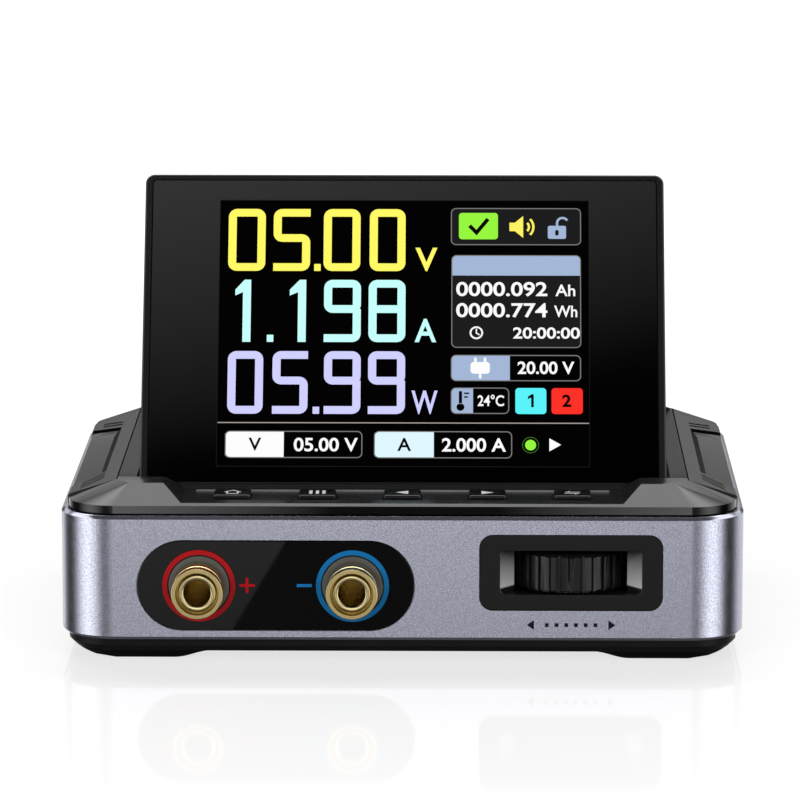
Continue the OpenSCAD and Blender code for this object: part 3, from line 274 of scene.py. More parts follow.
# Colour rings
# A thin satin ring of red or blue plastic lies on the plate round each socket and tells the poles
# apart. A fine dark line of painted shade inside each ring stands for the gap to the insulator.

ring_colours = (
    ("positive", (0.62, 0.012, 0.018), "ring_red"),
    ("negative", (0.01, 0.25, 0.66), "ring_blue"),
)
# Painted shade: the ring's colour turns black near its bore, where the gap to the insulator lies
line_starts, line_ends, gap_shade_black = 0.14 * MM, 0.22 * MM, (0.012, 0.01, 0.01, 1)
for side, colour, slot in ring_colours:
    satin = moulded(slot + "_satin", colour, 0.36, 2500, 0.00001, 0.15)
    ring = soften("ring_" + side, side + "_ring", 0.06 * MM, "case", satin)
    low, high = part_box("ring_" + side)
    middle = (low + high) / 2
    bore = min(Vector((v.co.x - middle.x, v.co.z - middle.z)).length for v in ring.data.vertices)
    nodes, links = satin.node_tree.nodes, satin.node_tree.links
    turn = nodes.new("ShaderNodeMapping")
    turn.inputs["Location"].default_value = (-middle.x, 0, -middle.z)
    turn.inputs["Scale"].default_value = (1, 0, 1)
    radius = nodes.new("ShaderNodeVectorMath")
    radius.operation = "LENGTH"
    step = nodes.new("ShaderNodeMapRange")
    step.inputs["From Min"].default_value = bore + line_starts
    step.inputs["From Max"].default_value = bore + line_ends
    paint = nodes.new("ShaderNodeMix")
    paint.data_type = "RGBA"
    paint.inputs["A"].default_value = gap_shade_black
    links.new(nodes["Texture Coordinate"].outputs["Object"], turn.inputs["Vector"])
    links.new(turn.outputs["Vector"], radius.inputs[0])
    links.new(radius.outputs["Value"], step.inputs["Value"])
    links.new(step.outputs["Result"], paint.inputs["Factor"])
    links.new(nodes["Color Ramp"].outputs["Color"], paint.inputs["B"])
    links.new(paint.outputs["Result"], nodes["Principled BSDF"].inputs["Base Color"])

# Insulators
# A grey shouldered bush keeps each live socket clear of the metal band, with a washer of the same
# plastic behind the wall.

bush_grey = moulded("insulator_grey", (0.155, 0.15, 0.135), 0.4, 2500, specular=0.3)
for side in ("positive", "negative"):
    soften("insulator_" + side, side + "_insulator", 0.05 * MM, "case", bush_grey)

# Output sockets
# Each socket is turned from brass and gold plated: a 4 mm bore with a lead-in, a raised inner lip,
# a rounded outer rim and a threaded shank. The tool leaves fine rings round the axis.

gold = bare_metal("gold_plate", (0.64, 0.53, 0.27), 0.15, (0.12, 0.2), 700, 2, (1, 9, 1))
emboss(gold, add_noise(gold, 500, 1, (0.05, 14, 0.05)), 0.12, 0.00002)
# A darker contact sleeve lines the bore; the same finish in the lip's groove is painted shade
sleeve_and_groove_shade = bare_metal("contact_sleeve_and_groove_shade", (0.36, 0.25, 0.06), 0.22, (0.16, 0.28), 500, 2, (1, 8, 1))
turned_face = bare_metal("turned_face", (0.58, 0.45, 0.2), 0.3, (0.26, 0.34), 700)
sleeve_and_shade_index, face_index = 1, 2

# Half section of a socket, radius against depth behind the mouth, in millimetres
socket_section = (
    (0, 19), (2, 19), (2, 1.1), (2.02, 0.8), (2.08, 0.66), (2.15, 0.6), (2.3, 0.575),
    (2.48, 0.565), (2.6, 0.57), (2.72, 0.6), (2.8, 0.64), (2.86, 0.7), (2.91, 0.79), (2.94, 0.95),
    (2.95, 1.3), (3.2, 1.3), (3.22, 0.4), (3.23, 0.06), (3.27, 0), (3.32, 0), (3.75, 0), (3.81, 0),
    (3.87, 0.03), (3.9, 0.1), (3.9, 0.8), (3.8, 0.86), (3.77, 0.95), (3.77, 2.1), (3.8, 2.14),
    (3.84, 2.19), (3.87, 2.25), (3.89, 2.32), (3.9, 2.4), (3.9, 5.3), (3.86, 5.45), (3.75, 5.6),
    (3.6, 5.7), (2.9, 5.7), (2.9, 21), (0, 21),
)
mouth_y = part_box("socket_positive")[0].y
for side in ("positive", "negative"):
    bpy.ops.object.select_all(action="DESELECT")
    bpy.ops.mesh.primitive_circle_add(vertices=3, radius=MM)
    jack = bpy.context.object
    jack.name = side + "_jack"
    for metal in (gold, sleeve_and_groove_shade, turned_face):
        jack.data.materials.append(metal)
    bpy.ops.object.mode_set(mode="EDIT")
    bpy.ops.mesh.select_all(action="SELECT")
    bpy.ops.mesh.delete(type="VERT")
    bpy.ops.object.mode_set(mode="OBJECT")
    jack.data.from_pydata([(r * MM, d * MM, 0) for r, d in socket_section],
                          [(i, i + 1) for i in range(len(socket_section) - 1)], [])
    bpy.ops.object.mode_set(mode="EDIT")
    bpy.ops.mesh.select_all(action="SELECT")
    bpy.ops.mesh.spin(steps=96, angle=2 * pi, center=(0, 0, 0), axis=(0, 1, 0))
    bpy.ops.mesh.select_all(action="SELECT")
    bpy.ops.mesh.remove_doubles(threshold=0.004 * MM)
    bpy.ops.mesh.normals_make_consistent(inside=False)
    bpy.ops.object.mode_set(mode="OBJECT")
    low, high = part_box("socket_" + side)
    axis = Vector((low.x + high.x, 0, low.z + high.z)) / 2
    jack.data.transform(Matrix.Translation((axis.x, mouth_y, axis.z)))
    bpy.ops.object.shade_smooth_by_angle(angle=radians(40))
    for face in jack.data.polygons:
        radius = Vector((face.center.x - axis.x, face.center.z - axis.z)).length / MM
        depth = (face.center.y - mouth_y) / MM
        in_bore = radius < 2.02 and depth > 0.9
        # The groove round the lip takes the darker finish as painted shade
        in_groove = 2.93 < radius < 3.26 and depth < 1.4
        on_rim = radius > 3.1 and face.normal.y < -0.98 and depth < 0.05
        if in_bore or in_groove:
            face.material_index = sleeve_and_shade_index
        elif on_rim:
            face.material_index = face_index
    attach(jack, "case")
    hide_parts("socket_" + side)

# Socket nuts and output tabs
# A hexagon nut draws each socket tight from inside, and a bent brass tab carries the current from
# its tail to the board.

plain_brass = bare_metal("drawn_brass", (0.6, 0.43, 0.18), 0.34, (0.28, 0.44), 600, 3, (1, 1, 6))
dress(plain_brass, "socket_nuts", "output_tabs")

# Wheel bezel
# A black moulded frame is let into the band round the thumb wheel. Each end of its opening has a
# scooped grey ramp that leads the thumb on to the wheel. Painted light and shade run up it: a black
# painted shadow along its foot, palest just above, darkening towards the top.

bezel_black = moulded("bezel_black", (0.005, 0.0052, 0.0048), 0.36, specular=0.26)
bezel = soften("wheel_bezel", "thumb_bezel", 0.1 * MM, "case", bezel_black)
ramp_grey_painted_light = moulded("ramp_grey_painted_light", (0.42, 0.42, 0.42), 0.3, 2600, 0.00001, 0.9)
bezel.data.materials.append(ramp_grey_painted_light)
low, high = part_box("wheel_bezel")
bezel_x, bezel_z = (low.x + high.x) / 2, (low.z + high.z) / 2
opening_x, opening_z, ramp_z = 10.8 * MM, 3.5 * MM, 3.2 * MM
nodes, links = ramp_grey_painted_light.node_tree.nodes, ramp_grey_painted_light.node_tree.links
height = nodes.new("ShaderNodeSeparateXYZ")
down = nodes.new("ShaderNodeMapRange")
down.inputs["From Min"].default_value = bezel_z - ramp_z
down.inputs["From Max"].default_value = bezel_z + ramp_z
# Painted light and shade by height: black at the foot, palest just above it, dark at the top
shade = nodes.new("ShaderNodeValToRGB")
shade.color_ramp.elements[0].color = (0.01, 0.01, 0.01, 1)
shade.color_ramp.elements[0].position = 0.09
shade.color_ramp.elements[1].color = (0.04, 0.04, 0.04, 1)
for place, grey in ((0.13, 0.95), (0.3, 0.75)):
    shade.color_ramp.elements.new(place).color = (grey, grey, grey, 1)
links.new(nodes["Texture Coordinate"].outputs["Object"], height.inputs["Vector"])
links.new(height.outputs["Z"], down.inputs["Value"])
links.new(down.outputs["Result"], shade.inputs["Fac"])
links.new(shade.outputs["Color"], nodes["Principled BSDF"].inputs["Base Color"])
for face in bezel.data.polygons:
    in_opening = (abs(face.center.x - bezel_x) < opening_x
                  and abs(face.center.z - bezel_z) < opening_z)
    if in_opening and abs(face.normal.x) > 0.2 and face.normal.y < -0.1:
        face.material_index = 1

# Thumb wheel
# The wheel is moulded black with broad flat ribs and narrow grooves, so that a fingertip turns it
# one click at a time. It turns on a steel axle and is held by a spring clip.

rib_black = moulded("rib_black", (0.008, 0.008, 0.008), 0.3, specular=0.35)
soften("knurled_wheel", "ribbed_wheel", 0.05 * MM, "wheel", rib_black)
steel = bare_metal("ground_steel", (0.55, 0.56, 0.58), 0.24, (0.2, 0.32), 1200, 2, (1, 1, 0.1))
dress(steel, "wheel_axle", "hinge_pin_left", "hinge_pin_right")
dress(zinc, "axle_clip")
slide_black = moulded("slide_black", (0.018, 0.018, 0.019), 0.45)
dress(slide_black, "wheel_carrier", "encoder_frame")

# Turning mark
# Two triangles and a row of dots are printed on the band below the wheel in dark blue ink, and show
# which way it turns.

print_navy = printed("print_navy", (0.006, 0.007, 0.02))
mark_z, first_dot_x, dot_gap, dot_side = 6.0 * MM, 22.05, 1.48, 0.58 * MM
mark = []
for i in range(6):
    dot_x = (first_dot_x + dot_gap * i) * MM
    mark.append(flat_bar("dot", dot_x, mark_z, dot_side, dot_side, front_y, print_navy))
for x, turn in ((19.8, 90), (31.7, -90)):
    bpy.ops.object.select_all(action="DESELECT")
    bpy.ops.mesh.primitive_circle_add(vertices=3, radius=MM, fill_type="NGON")
    arrow = bpy.context.object
    arrow.data.materials.append(print_navy)
    bpy.ops.object.mode_set(mode="EDIT")
    bpy.ops.mesh.select_all(action="SELECT")
    bpy.ops.transform.resize(value=(0.86, 0.72, 1))
    bpy.ops.mesh.extrude_region_move(TRANSFORM_OT_translate={"value": (0, 0, ink_thick)})
    bpy.ops.object.mode_set(mode="OBJECT")
    mark.append(on_front(arrow, x * MM, front_y, mark_z, turn))
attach(join(mark, "turning_mark"), "case")

# Boards and the parts on them
# Green boards with plain cans, shielded inductors, a finned heat sink and the controller chip fill
# the case. Only the two inlets show from outside, in the rear wall.

laminate = moulded("green_mask", (0.012, 0.075, 0.035), 0.35, 1800)
dress(laminate, "main_board", "key_board", "display_board")
dress(zinc, "board_screws", "key_board_screws", "fan_screws")
dress(moulded("chip_epoxy", (0.015, 0.015, 0.016), 0.55), "control_chip")
dress(moulded("ferrite_grey", (0.06, 0.06, 0.065), 0.5, 1600), "inductor_input", "inductor_output")
extruded = bare_metal("extruded_aluminium", (0.5, 0.51, 0.53), 0.36, (0.3, 0.46), 500, 3,
                      (0.1, 1, 1))
dress(extruded, "heat_sink", "capacitor_1", "capacitor_2", "capacitor_3")
dress(moulded("amber_film", (0.4, 0.2, 0.05), 0.3, 1200), "ribbon_cable")
switch_steel = bare_metal("switch_steel", (0.5, 0.51, 0.52), 0.38, (0.32, 0.46), 900)
dress(switch_steel, "push_switch", "key_switches", "usb_inlet")
dress(slide_black, "dc_inlet")

# Blower
# A flat radial blower of black plastic stands on the board beside the heat sink. It takes in air
# that comes up through the slots in the tray and blows it out at the rear.

dress(moulded("blower_black", (0.02, 0.02, 0.021), 0.46), "fan_housing", "fan_rotor")

# Top cover
# The dark grey cover is one moulding: an upright rim with a polished edge, sloping shoulders,
# raised side panels with grip grooves, the key strip and the bay that takes the folded display.
# Painted shade darkens the seam above the band, the grip grooves, a crease and the recess walls,
# and a painted highlight runs along the rear edge of the key tray.

cover_grey = moulded("cover_grey", (0.008, 0.008, 0.0082), 0.26, 4200, 0.000006)
cover = soften("top_cover", "cover_shell", 0.04 * MM, "case", cover_grey, 14)
cover_finishes = (
    polished("rim_polish", (0.0015, 0.0015, 0.0014), 0.01, 0.5, (0.008, 0.014), 300),
    # Painted shade: a black matt finish in the seam under the rim, the grip grooves and the crease
    moulded("painted_groove_shade", (0.002, 0.002, 0.002), 0.7, specular=0.02),
    # Painted shade on the inner walls of the side recesses
    moulded("recess_wall_shade", (0.006, 0.006, 0.006), 0.5, specular=0.03),
    # Painted highlight: light grey on the key tray's rear wall, where its edge would catch the
    # light
    moulded("tray_edge_highlight", (0.28, 0.28, 0.28), 0.35),
)
for finish in cover_finishes:
    cover.data.materials.append(finish)
rim_index, groove_shade_index, wall_shade_index, edge_highlight_index = 1, 2, 3, 4
band_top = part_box("side_band")[1].z / MM
rim_h, seam_h, cover_mid_y = 1.5, 0.3, 3.05

# Faces are told apart by their place in millimetres and by the way they face
for face in cover.data.polygons:
    x, y, z = (v / MM for v in (abs(face.center.x), face.center.y, face.center.z))
    nx, ny, nz = (abs(v) for v in face.normal)
    outside = x > 40 or abs(y - cover_mid_y) > 30
    on_rim = nz < 0.2 and band_top < z < band_top + rim_h and outside
    on_recess_wall = 0.6 < nx < 0.9 and 45.5 < x < 47.5 and z > 25
    on_tray_edge = face.normal.y < -0.9 and -23.6 < y < -23 and 24.1 < z < 24.5
    in_grip_groove = 0.6 < ny < 0.85 and 0.5 < nx < 0.75 and x > 46 and z > 24
    in_crease = 43.6 < x < 43.9 and 26.4 < z < 26.79
    # The seam, recess walls, grooves and crease take painted shade; the tray's rear wall a painted
    # highlight
    if on_rim:
        face.material_index = groove_shade_index if z < band_top + seam_h else rim_index
    elif on_recess_wall:
        face.material_index = wall_shade_index
    elif on_tray_edge:
        face.material_index = edge_highlight_index
    elif in_grip_groove or in_crease:
        face.material_index = groove_shade_index

# Menu keys
# Five satin black keys stand just proud of the strip. Each cap has rounded upper edges, and its
# mark is printed in white on the top.

key_black = moulded("key_black", (0.004, 0.004, 0.004), 0.22, 2600, 0.00001, 0.4)
print_white = printed("print_white", (0.8, 0.8, 0.8))
key_marks = {
    "key_home": [
        [(-1.35, 0.1), (0, 1.5), (1.35, 0.1), (1.1, -0.05), (0, 1.1), (-1.1, -0.05)],
        [(-0.95, 0.15), (-0.95, -1.3), (0.95, -1.3), (0.95, 0.15), (0.7, 0.3), (0.7, -1.0),
         (-0.7, -1.0), (-0.7, 0.3)],
    ],
    "key_memory": [[(x, -1.25), (x + 0.5, -1.25), (x + 0.5, 1.25), (x, 1.25)]
                   for x in (-1.25, -0.25, 0.75)],
    "key_left": [[(-1.0, 0), (0.9, -1.2), (0.9, 1.2)]],
    "key_right": [[(1.0, 0), (-0.9, 1.2), (-0.9, -1.2)]],
    "key_swap": [
        [(-1.2, 0.3), (1.2, 0.3), (1.2, 0.62), (-0.35, 0.62), (-0.35, 1.25)],
        [(1.2, -0.3), (-1.2, -0.3), (-1.2, -0.62), (0.35, -0.62), (0.35, -1.25)],
    ],
}
same_height = 0.001 * MM
for node in key_marks:
    cap = soften(node, node + "_cap", 0, node[4:] + "_key", key_black)
    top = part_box(node)[1].z
    bpy.ops.object.mode_set(mode="EDIT")
    bpy.ops.mesh.select_all(action="DESELECT")
    bpy.ops.object.mode_set(mode="OBJECT")
    for edge in cap.data.edges:
        edge.select = all(abs(cap.data.vertices[v].co.z - top) < same_height
                          for v in edge.vertices)
    bpy.ops.object.mode_set(mode="EDIT")
    bpy.ops.mesh.bevel(offset=0.35 * MM, segments=4, affect="EDGES", clamp_overlap=True)
    bpy.ops.object.mode_set(mode="OBJECT")
    bpy.ops.object.shade_smooth_by_angle(angle=radians(40))


def drawn(name, outlines, thick, material):
    """A flat shape from closed outlines in millimetres; an outline inside another is a hole."""
    curve = bpy.data.curves.new(name, "CURVE")
    curve.dimensions = "2D"
    curve.fill_mode = "BOTH"
    curve.extrude = thick / 2
    for outline in outlines:
        spline = curve.splines.new("POLY")
        spline.points.add(len(outline) - 1)
        for point, (x, y) in zip(spline.points, outline):
            point.co = (x * MM, y * MM, 0, 1)
        spline.use_cyclic_u = True
    piece = bpy.data.objects.new(name, curve)
    bpy.context.collection.objects.link(piece)
    select_only(piece)
    bpy.ops.object.convert(target="MESH")
    piece.data.materials.clear()
    piece.data.materials.append(material)
    return piece


for node, outlines in key_marks.items():
    low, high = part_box(node)
    cap_middle = ((low.x + high.x) / 2, (low.y + high.y) / 2, high.z)
    key_mark = drawn(node + "_mark", outlines, 0.01 * MM, print_white)
    key_mark.data.transform(Matrix.Translation(cap_middle))
    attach(key_mark, node[4:] + "_key")

# Display housing
# A thin black tray with a hinge barrel along its lower edge holds the screen. Bronze bushes in the
# barrel grip steel pins in the cover, so the screen stays at any angle.

housing_black = moulded("housing_black", (0.007, 0.007, 0.0072), 0.3, 4200, 0.000006, 0.4)
soften("display_housing", "screen_housing", 0.12 * MM, "display", housing_black)
bronze = bare_metal("sintered_bronze", (0.45, 0.27, 0.12), 0.42, (0.35, 0.5), 2000)
dress(bronze, "hinge_bush_left", "hinge_bush_right")

# Display window and panel
# A sheet of dark polished glass lies flush in the housing, with the liquid-crystal panel bonded
# behind it. The lit area has a slightly warmer black than the printed border.

window_black = polished("window_black", (0.0004, 0.0004, 0.0004), 0.04, 0.5, (0.035, 0.05), 90, 2)
soften("display_window", "screen_glass", 0.08 * MM, "display", window_black)
dress(moulded("panel_grey", (0.03, 0.033, 0.038), 0.3), "display_panel")

hinge = Vector((0, -18.25 * MM, 22.5 * MM))
tilt = radians(63)
glass_z = 3.6 * MM


def on_display(piece, lift):
    """Turns what is drawn flat, X across and Y up from the hinge, on to the raised screen."""
    piece.data.transform(Matrix.Translation(hinge) @ Matrix.Rotation(tilt, 4, "X")
                         @ Matrix.Translation((0, 0, glass_z + lift)))
    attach(piece, "display")
    return piece


def arc(u, s, r, start=0, end=360, step=15, tall=1):
    """Points on a round line about u, s, for signs on the screen."""
    return [(u + r * cos(radians(a)), s + r * tall * sin(radians(a)))
            for a in range(start, end, step)]


def rounded(u0, s0, u1, s1, r):
    """A box with round corners, six points to each, from the lower right corner round."""
    corners = ((u1 - r, s0 + r, -90), (u1 - r, s1 - r, 0), (u0 + r, s1 - r, 90),
               (u0 + r, s0 + r, 180))
    return [point for u, s, a in corners for point in arc(u, s, r, a, a + 91, 18)]


def lit(name, colour):
    material = new_finish(name, toned(colour, 0.05), 0.3, specular=0)
    shader = material.node_tree.nodes["Principled BSDF"]
    shader.inputs["Emission Color"].default_value = (*colour, 1)
    shader.inputs["Emission Strength"].default_value = 1
    return material


panel_film, sign_film = 0.004 * MM, 0.003 * MM
screen_dark = lit("screen_dark", (0.0012, 0.0008, 0.0008))
screen_edge = lit("screen_edge", (0.012, 0.01, 0.01))
edge_outline = rounded(-28.9, 3.65, 28.9, 47.1, 0.1)
lit_outline = rounded(-28.8, 3.76, 28.8, 46.98, 0.1)
on_display(drawn("lit_area_edge", [edge_outline], panel_film, screen_edge), 0.001 * MM)
on_display(drawn("lit_area", [lit_outline], panel_film, screen_dark), 0.003 * MM)

# Large readings
# Three rows of tall figures give volts, amperes and watts. Each figure is one even stroke with
# rounded corners, as a seven-bar display would draw it.

stroke, stroke_turn = 1.26, 0.72


def bar(points, closed=False):
    """The outline of an even stroke along a line of points, with its corners rounded."""
    line = []
    count = len(points)
    for i, here in enumerate(points):
        here = Vector(here)
        if not closed and i in (0, count - 1):
            line.append(here)
            continue
        before, after = Vector(points[i - 1]), Vector(points[(i + 1) % count])
        a, b = (before - here).normalized(), (after - here).normalized()
        centre = here + (a + b) * stroke_turn
        for k in range(7):
            t = radians(15 * k)
            line.append(centre - b * stroke_turn * cos(t) - a * stroke_turn * sin(t))
    left, right = [], []
    for i, here in enumerate(line):
        before = line[i - 1] if closed or i else here
        after = line[(i + 1) % len(line)] if closed or i < len(line) - 1 else here
        along = (after - before).normalized()
        across = Vector((-along.y, along.x)) * stroke / 2
        left.append((here + across)[:])
        right.append((here - across)[:])
    return [left, right] if closed else [left + right[::-1]]


def figure(digit, u, s, w, h):
    """The strokes of one large figure, its lower left corner at u, s on the screen."""
    a, b = stroke / 2, stroke
    left, right, low, top, mid = u + a, u + w - a, s + a, s + h - a, s + h * 0.53
    if digit == "0":
        return [bar([(left, low), (right, low), (right, top), (left, top)], True)]
    if digit == "8":
        waist = [(left, mid - a), (right, mid - a), (right, mid + a), (left, mid + a)]
        return figure("0", u, s, w, h) + [[waist]]
    if digit == "5":
        return [bar([(u + w, top), (left, top), (left, mid), (right, mid), (right, low),
                     (u, low)])]
    if digit == "9":
        return [bar([(left, mid), (right, mid), (right, top), (left, top)], True),
                bar([(right, mid), (right, low), (u, low)])]
    return [[[(u + w - b, s), (u + w, s), (u + w, s + h), (u + w - b * 0.8, s + h),
              (u, s + h * 0.84), (u, s + h * 0.745), (u + w - b, s + h * 0.8)]]]


def row_of(name, s, h, figures, dot_u, colour):
    """A row of large figures, each given as its digit, left edge and width, and one decimal dot."""
    ink = lit(name + "_lit", colour)
    parts = [drawn("figure", strokes, panel_film, ink)
             for digit, u, w in figures for strokes in figure(digit, u, s, w, h)]
    dot = rounded(dot_u, s, dot_u + 1.02, s + 1.15, 0.08)
    parts.append(drawn("dot", [dot], panel_film, ink))
    on_display(join(parts, name), 0.006 * MM)
    return ink


volt_ink = row_of("volt_reading", 35.4, 10.2,
                  [("0", -27.5, 5.8), ("5", -20.45, 5.75), ("0", -12.6, 5.75), ("0", -5.4, 5.6)],
                  -14.05, (1.0, 0.93, 0.13))
ampere_ink = row_of("ampere_reading", 23.8, 10.15,
                    [("1", -26.3, 2.45), ("1", -17.8, 2.55), ("9", -12.45, 5.75),
                     ("8", -5.5, 5.75)],
                    -21.3, (0.55, 1.0, 0.95))
watt_ink = row_of("watt_reading", 12.15, 10.15,
                  [("0", -27.3, 5.5), ("5", -20.35, 5.5), ("9", -12.35, 5.7), ("9", -5.5, 5.75)],
                  -14.05, (0.62, 0.62, 1.0))

# Small readings
# Boxes with a thin grey outline hold the stored energy, the input voltage, the temperature and the
# two settings. The coloured fields carry plain numbers and signs.

fill_lift, field_lift, line_lift, sign_lift = 0.005 * MM, 0.008 * MM, 0.01 * MM, 0.012 * MM
box_dark = lit("box_dark", (0.012, 0.012, 0.013))
line_grey = lit("line_grey", (0.2, 0.2, 0.2))
line_brown = lit("line_brown", (0.38, 0.34, 0.32))
white = lit("lit_white", (0.95, 0.95, 0.95))
black = lit("lit_black", (0.001, 0.001, 0.001))
slate = lit("lit_slate", (0.36, 0.46, 0.66))
green = lit("lit_green", (0.3, 0.9, 0.05))
green_dim = lit("lit_green_dim", (0.05, 0.16, 0.02))
yellow = lit("lit_yellow", (1.0, 0.86, 0.12))
cyan = lit("lit_cyan", (0.1, 0.87, 0.93))
red = lit("lit_red", (0.95, 0.03, 0.02))
ice = lit("lit_ice", (0.72, 0.9, 0.97))


def outlined(name, u0, s0, u1, s1, fill):
    r, line_w = 0.8, 0.15
    outer = rounded(u0, s0, u1, s1, r)
    inner = rounded(u0 + line_w, s0 + line_w, u1 - line_w, s1 - line_w, r - 0.14)
    on_display(drawn(name + "_fill", [outer], sign_film, fill), fill_lift)
    on_display(drawn(name + "_line", [outer, inner], sign_film, line_grey), line_lift)


def field(name, outline, fill):
    on_display(drawn(name, [outline], sign_film, fill), field_lift)


def left_field(name, u0, s0, u1, s1, fill):
    """A coloured field with round left corners, which fills the left end of a box."""
    left_corners = rounded(u0, s0, u1, s1, 0.7)[12:]
    field(name, [(u1, s0), (u1, s1)] + left_corners, fill)


def sign(name, outlines, ink):
    on_display(drawn(name, outlines, sign_film, ink), sign_lift)


def box(u0, s0, u1, s1):
    return [(u0, s0), (u1, s0), (u1, s1), (u0, s1)]


def bent(points, w):
    """A thin stroke with mitred corners, for signs."""
    left, right = [], []
    line = [Vector(p) for p in points]
    for i, here in enumerate(line):
        a = (here - line[i - 1]).normalized() if i else (line[1] - here).normalized()
        b = (line[i + 1] - here).normalized() if i < len(line) - 1 else a
        along = (a + b).normalized()
        across = Vector((-along.y, along.x)) * (w / 2) / max(0.3, along.dot(a))
        left.append((here + across)[:])
        right.append((here - across)[:])
    return [left + right[::-1]]


def digits(name, words, u, s, height, ink, bold, fit=None):
    """Plain figures set from the left, as wide as fit where it is given."""
    bpy.ops.object.select_all(action="DESELECT")
    bpy.ops.object.text_add(location=(0, 0, 0))
    piece = bpy.context.object
    piece.name = name
    piece.data.body = words
    piece.data.size = height * MM / 0.7
    piece.data.offset = bold * MM
    piece.data.extrude = 0.0015 * MM
    bpy.ops.object.convert(target="MESH")
    piece.data.materials.clear()
    piece.data.materials.append(ink)
    xs = [v.co.x for v in piece.data.vertices]
    ys = [v.co.y for v in piece.data.vertices]
    across = fit * MM / (max(xs) - min(xs)) if fit else 1
    up = height * MM / (max(ys) - min(ys))
    piece.data.transform(Matrix.Translation((u * MM, s * MM, 0))
                         @ Matrix.Diagonal((across, up, 1, 1))
                         @ Matrix.Translation((-min(xs), -min(ys), 0)))
    on_display(piece, sign_lift)


digits("volt_unit", "V", 1.75, 35.4, 3.85, volt_ink, 0.1, 3.45)
digits("ampere_unit", "A", 1.7, 23.8, 3.8, ampere_ink, 0.1, 3.35)
digits("watt_unit", "W", 1.25, 12.15, 3.8, watt_ink, 0.08, 4.05)

# State: a tick on green, a speaker and an open lock
outlined("status_box", 7.3, 39.7, 27.65, 45.8, box_dark)
field("ready_field", rounded(8.55, 40.65, 14.65, 45.0, 0.5), green)
sign("ready_tick", bent([(10.2, 42.9), (11.3, 41.75), (13.1, 44.0)], 0.62), black)
speaker = [[(16.45, 42.0), (17.3, 42.0), (18.6, 40.9), (18.6, 44.5), (17.3, 43.4), (16.45, 43.4)]]
for r in (0.75, 1.45):
    speaker += bent(arc(18.75, 42.7, r, -50, 51, 10, 1.15), 0.36)
sign("sound_sign", speaker, yellow)
lock = [rounded(22.45, 40.75, 25.3, 42.9, 0.3), rounded(23.6, 41.3, 24.15, 42.2, 0.2)]
shackle = bent([(23.9, 42.9)] + arc(24.75, 43.35, 0.85, 180, 29, -15), 0.36)
sign("lock_sign", lock + shackle, slate)

# Stored charge and energy, and a clock with the time they took
outlined("energy_box", 7.4, 22.9, 27.6, 38.05, box_dark)
header = [p for p in rounded(7.5, 33.0, 27.5, 38.0, 0.7) if p[1] > 34.7]
field("energy_header", [(7.5, 34.7), (27.5, 34.7)] + header, slate)
digits("charge_count", "0000.092", 8.15, 31.3, 2.35, white, 0.06, 14.2)
digits("charge_unit", "Ah", 23.6, 31.35, 1.9, white, 0.04, 3.1)
digits("energy_count", "0000.774", 8.15, 27.85, 2.35, white, 0.06, 14.2)
digits("energy_unit", "Wh", 23.4, 27.9, 1.9, white, 0.04, 3.6)
clock = [arc(11.3, 25.35, r) for r in (1.05, 0.78)]
sign("clock_sign", clock + bent([(11.3, 26.0), (11.3, 25.3), (11.8, 25.0)], 0.2), white)
digits("run_time", "20:00:00", 17.0, 24.4, 1.85, white, 0.05, 10.4)

# Input voltage beside a plug
outlined("input_box", 7.35, 17.5, 27.55, 21.75, black)
left_field("input_field", 7.45, 17.6, 16.5, 21.65, slate)
digits("input_volts", "20.00 V", 17.7, 18.65, 2.05, white, 0.06, 8.8)
plug = [rounded(10.4, 18.7, 13.4, 20.6, 0.5), box(10.95, 20.6, 11.35, 21.3),
        box(12.45, 20.6, 12.85, 21.3), box(11.7, 17.95, 12.1, 18.7)]
sign("input_sign", plug, white)

# Temperature beside a thermometer
outlined("heat_box", 7.35, 12.2, 16.4, 16.45, black)
left_field("heat_field", 7.45, 12.3, 10.8, 16.35, slate)
thermometer = [arc(8.85, 13.3, 0.62, step=20), rounded(8.6, 13.8, 9.1, 15.9, 0.2),
               box(9.4, 15.4, 10.2, 15.65), box(9.4, 14.8, 10.0, 15.05)]
sign("heat_sign", thermometer, black)
digits("heat_reading", "24°C", 11.5, 13.45, 1.85, white, 0.04, 4.1)

# Two numbered tiles
field("memory_field", rounded(17.35, 12.2, 22.15, 16.4, 0.55), cyan)
one = [(0.7, 0), (1.1, 0), (1.1, 2.1), (0.75, 2.1), (0.2, 1.7), (0.2, 1.3), (0.7, 1.55)]
sign("memory_number", [[(x + 19.1, y + 13.3) for x, y in one]], black)
field("mode_field", rounded(22.95, 12.2, 27.8, 16.4, 0.55), red)
digits("mode_number", "2", 24.6, 13.35, 2.0, black, 0.08)

# The two settings below a dividing line, a green lamp and a triangle
dividing_line = drawn("dividing_line", [box(-28.75, 10.64, 28.75, 10.8)], sign_film, line_brown)
on_display(dividing_line, line_lift)
outlined("volt_box", -27.55, 5.05, -6.3, 9.4, black)
left_field("volt_field", -27.55, 5.1, -18.45, 9.35, white)
digits("volt_letter", "V", -23.9, 6.2, 2.1, black, 0.05)
digits("volt_setting", "05.00 V", -16.9, 6.1, 2.2, white, 0.06, 9.9)
outlined("ampere_box", -4.5, 5.05, 16.85, 9.4, black)
left_field("ampere_field", -4.5, 5.1, 4.75, 9.35, ice)
digits("ampere_letter", "A", -0.9, 6.2, 2.1, black, 0.05)
digits("ampere_setting", "2.000 A", 6.0, 6.1, 2.2, white, 0.06, 9.9)
sign("run_lamp", [arc(19.7, 7.2, 0.85, step=12)], green)
sign("run_lamp_ring", [arc(19.7, 7.2, r, step=12) for r in (1.3, 1.19)], green_dim)
sign("run_sign", [[(22.6, 6.2), (24.4, 7.25), (22.6, 8.3)]], white)

# Floor
# A plain white table top, smooth enough to give the object a faint reflection. To the camera it
# glows up to full white away from the object, and keeps the object's shadow.

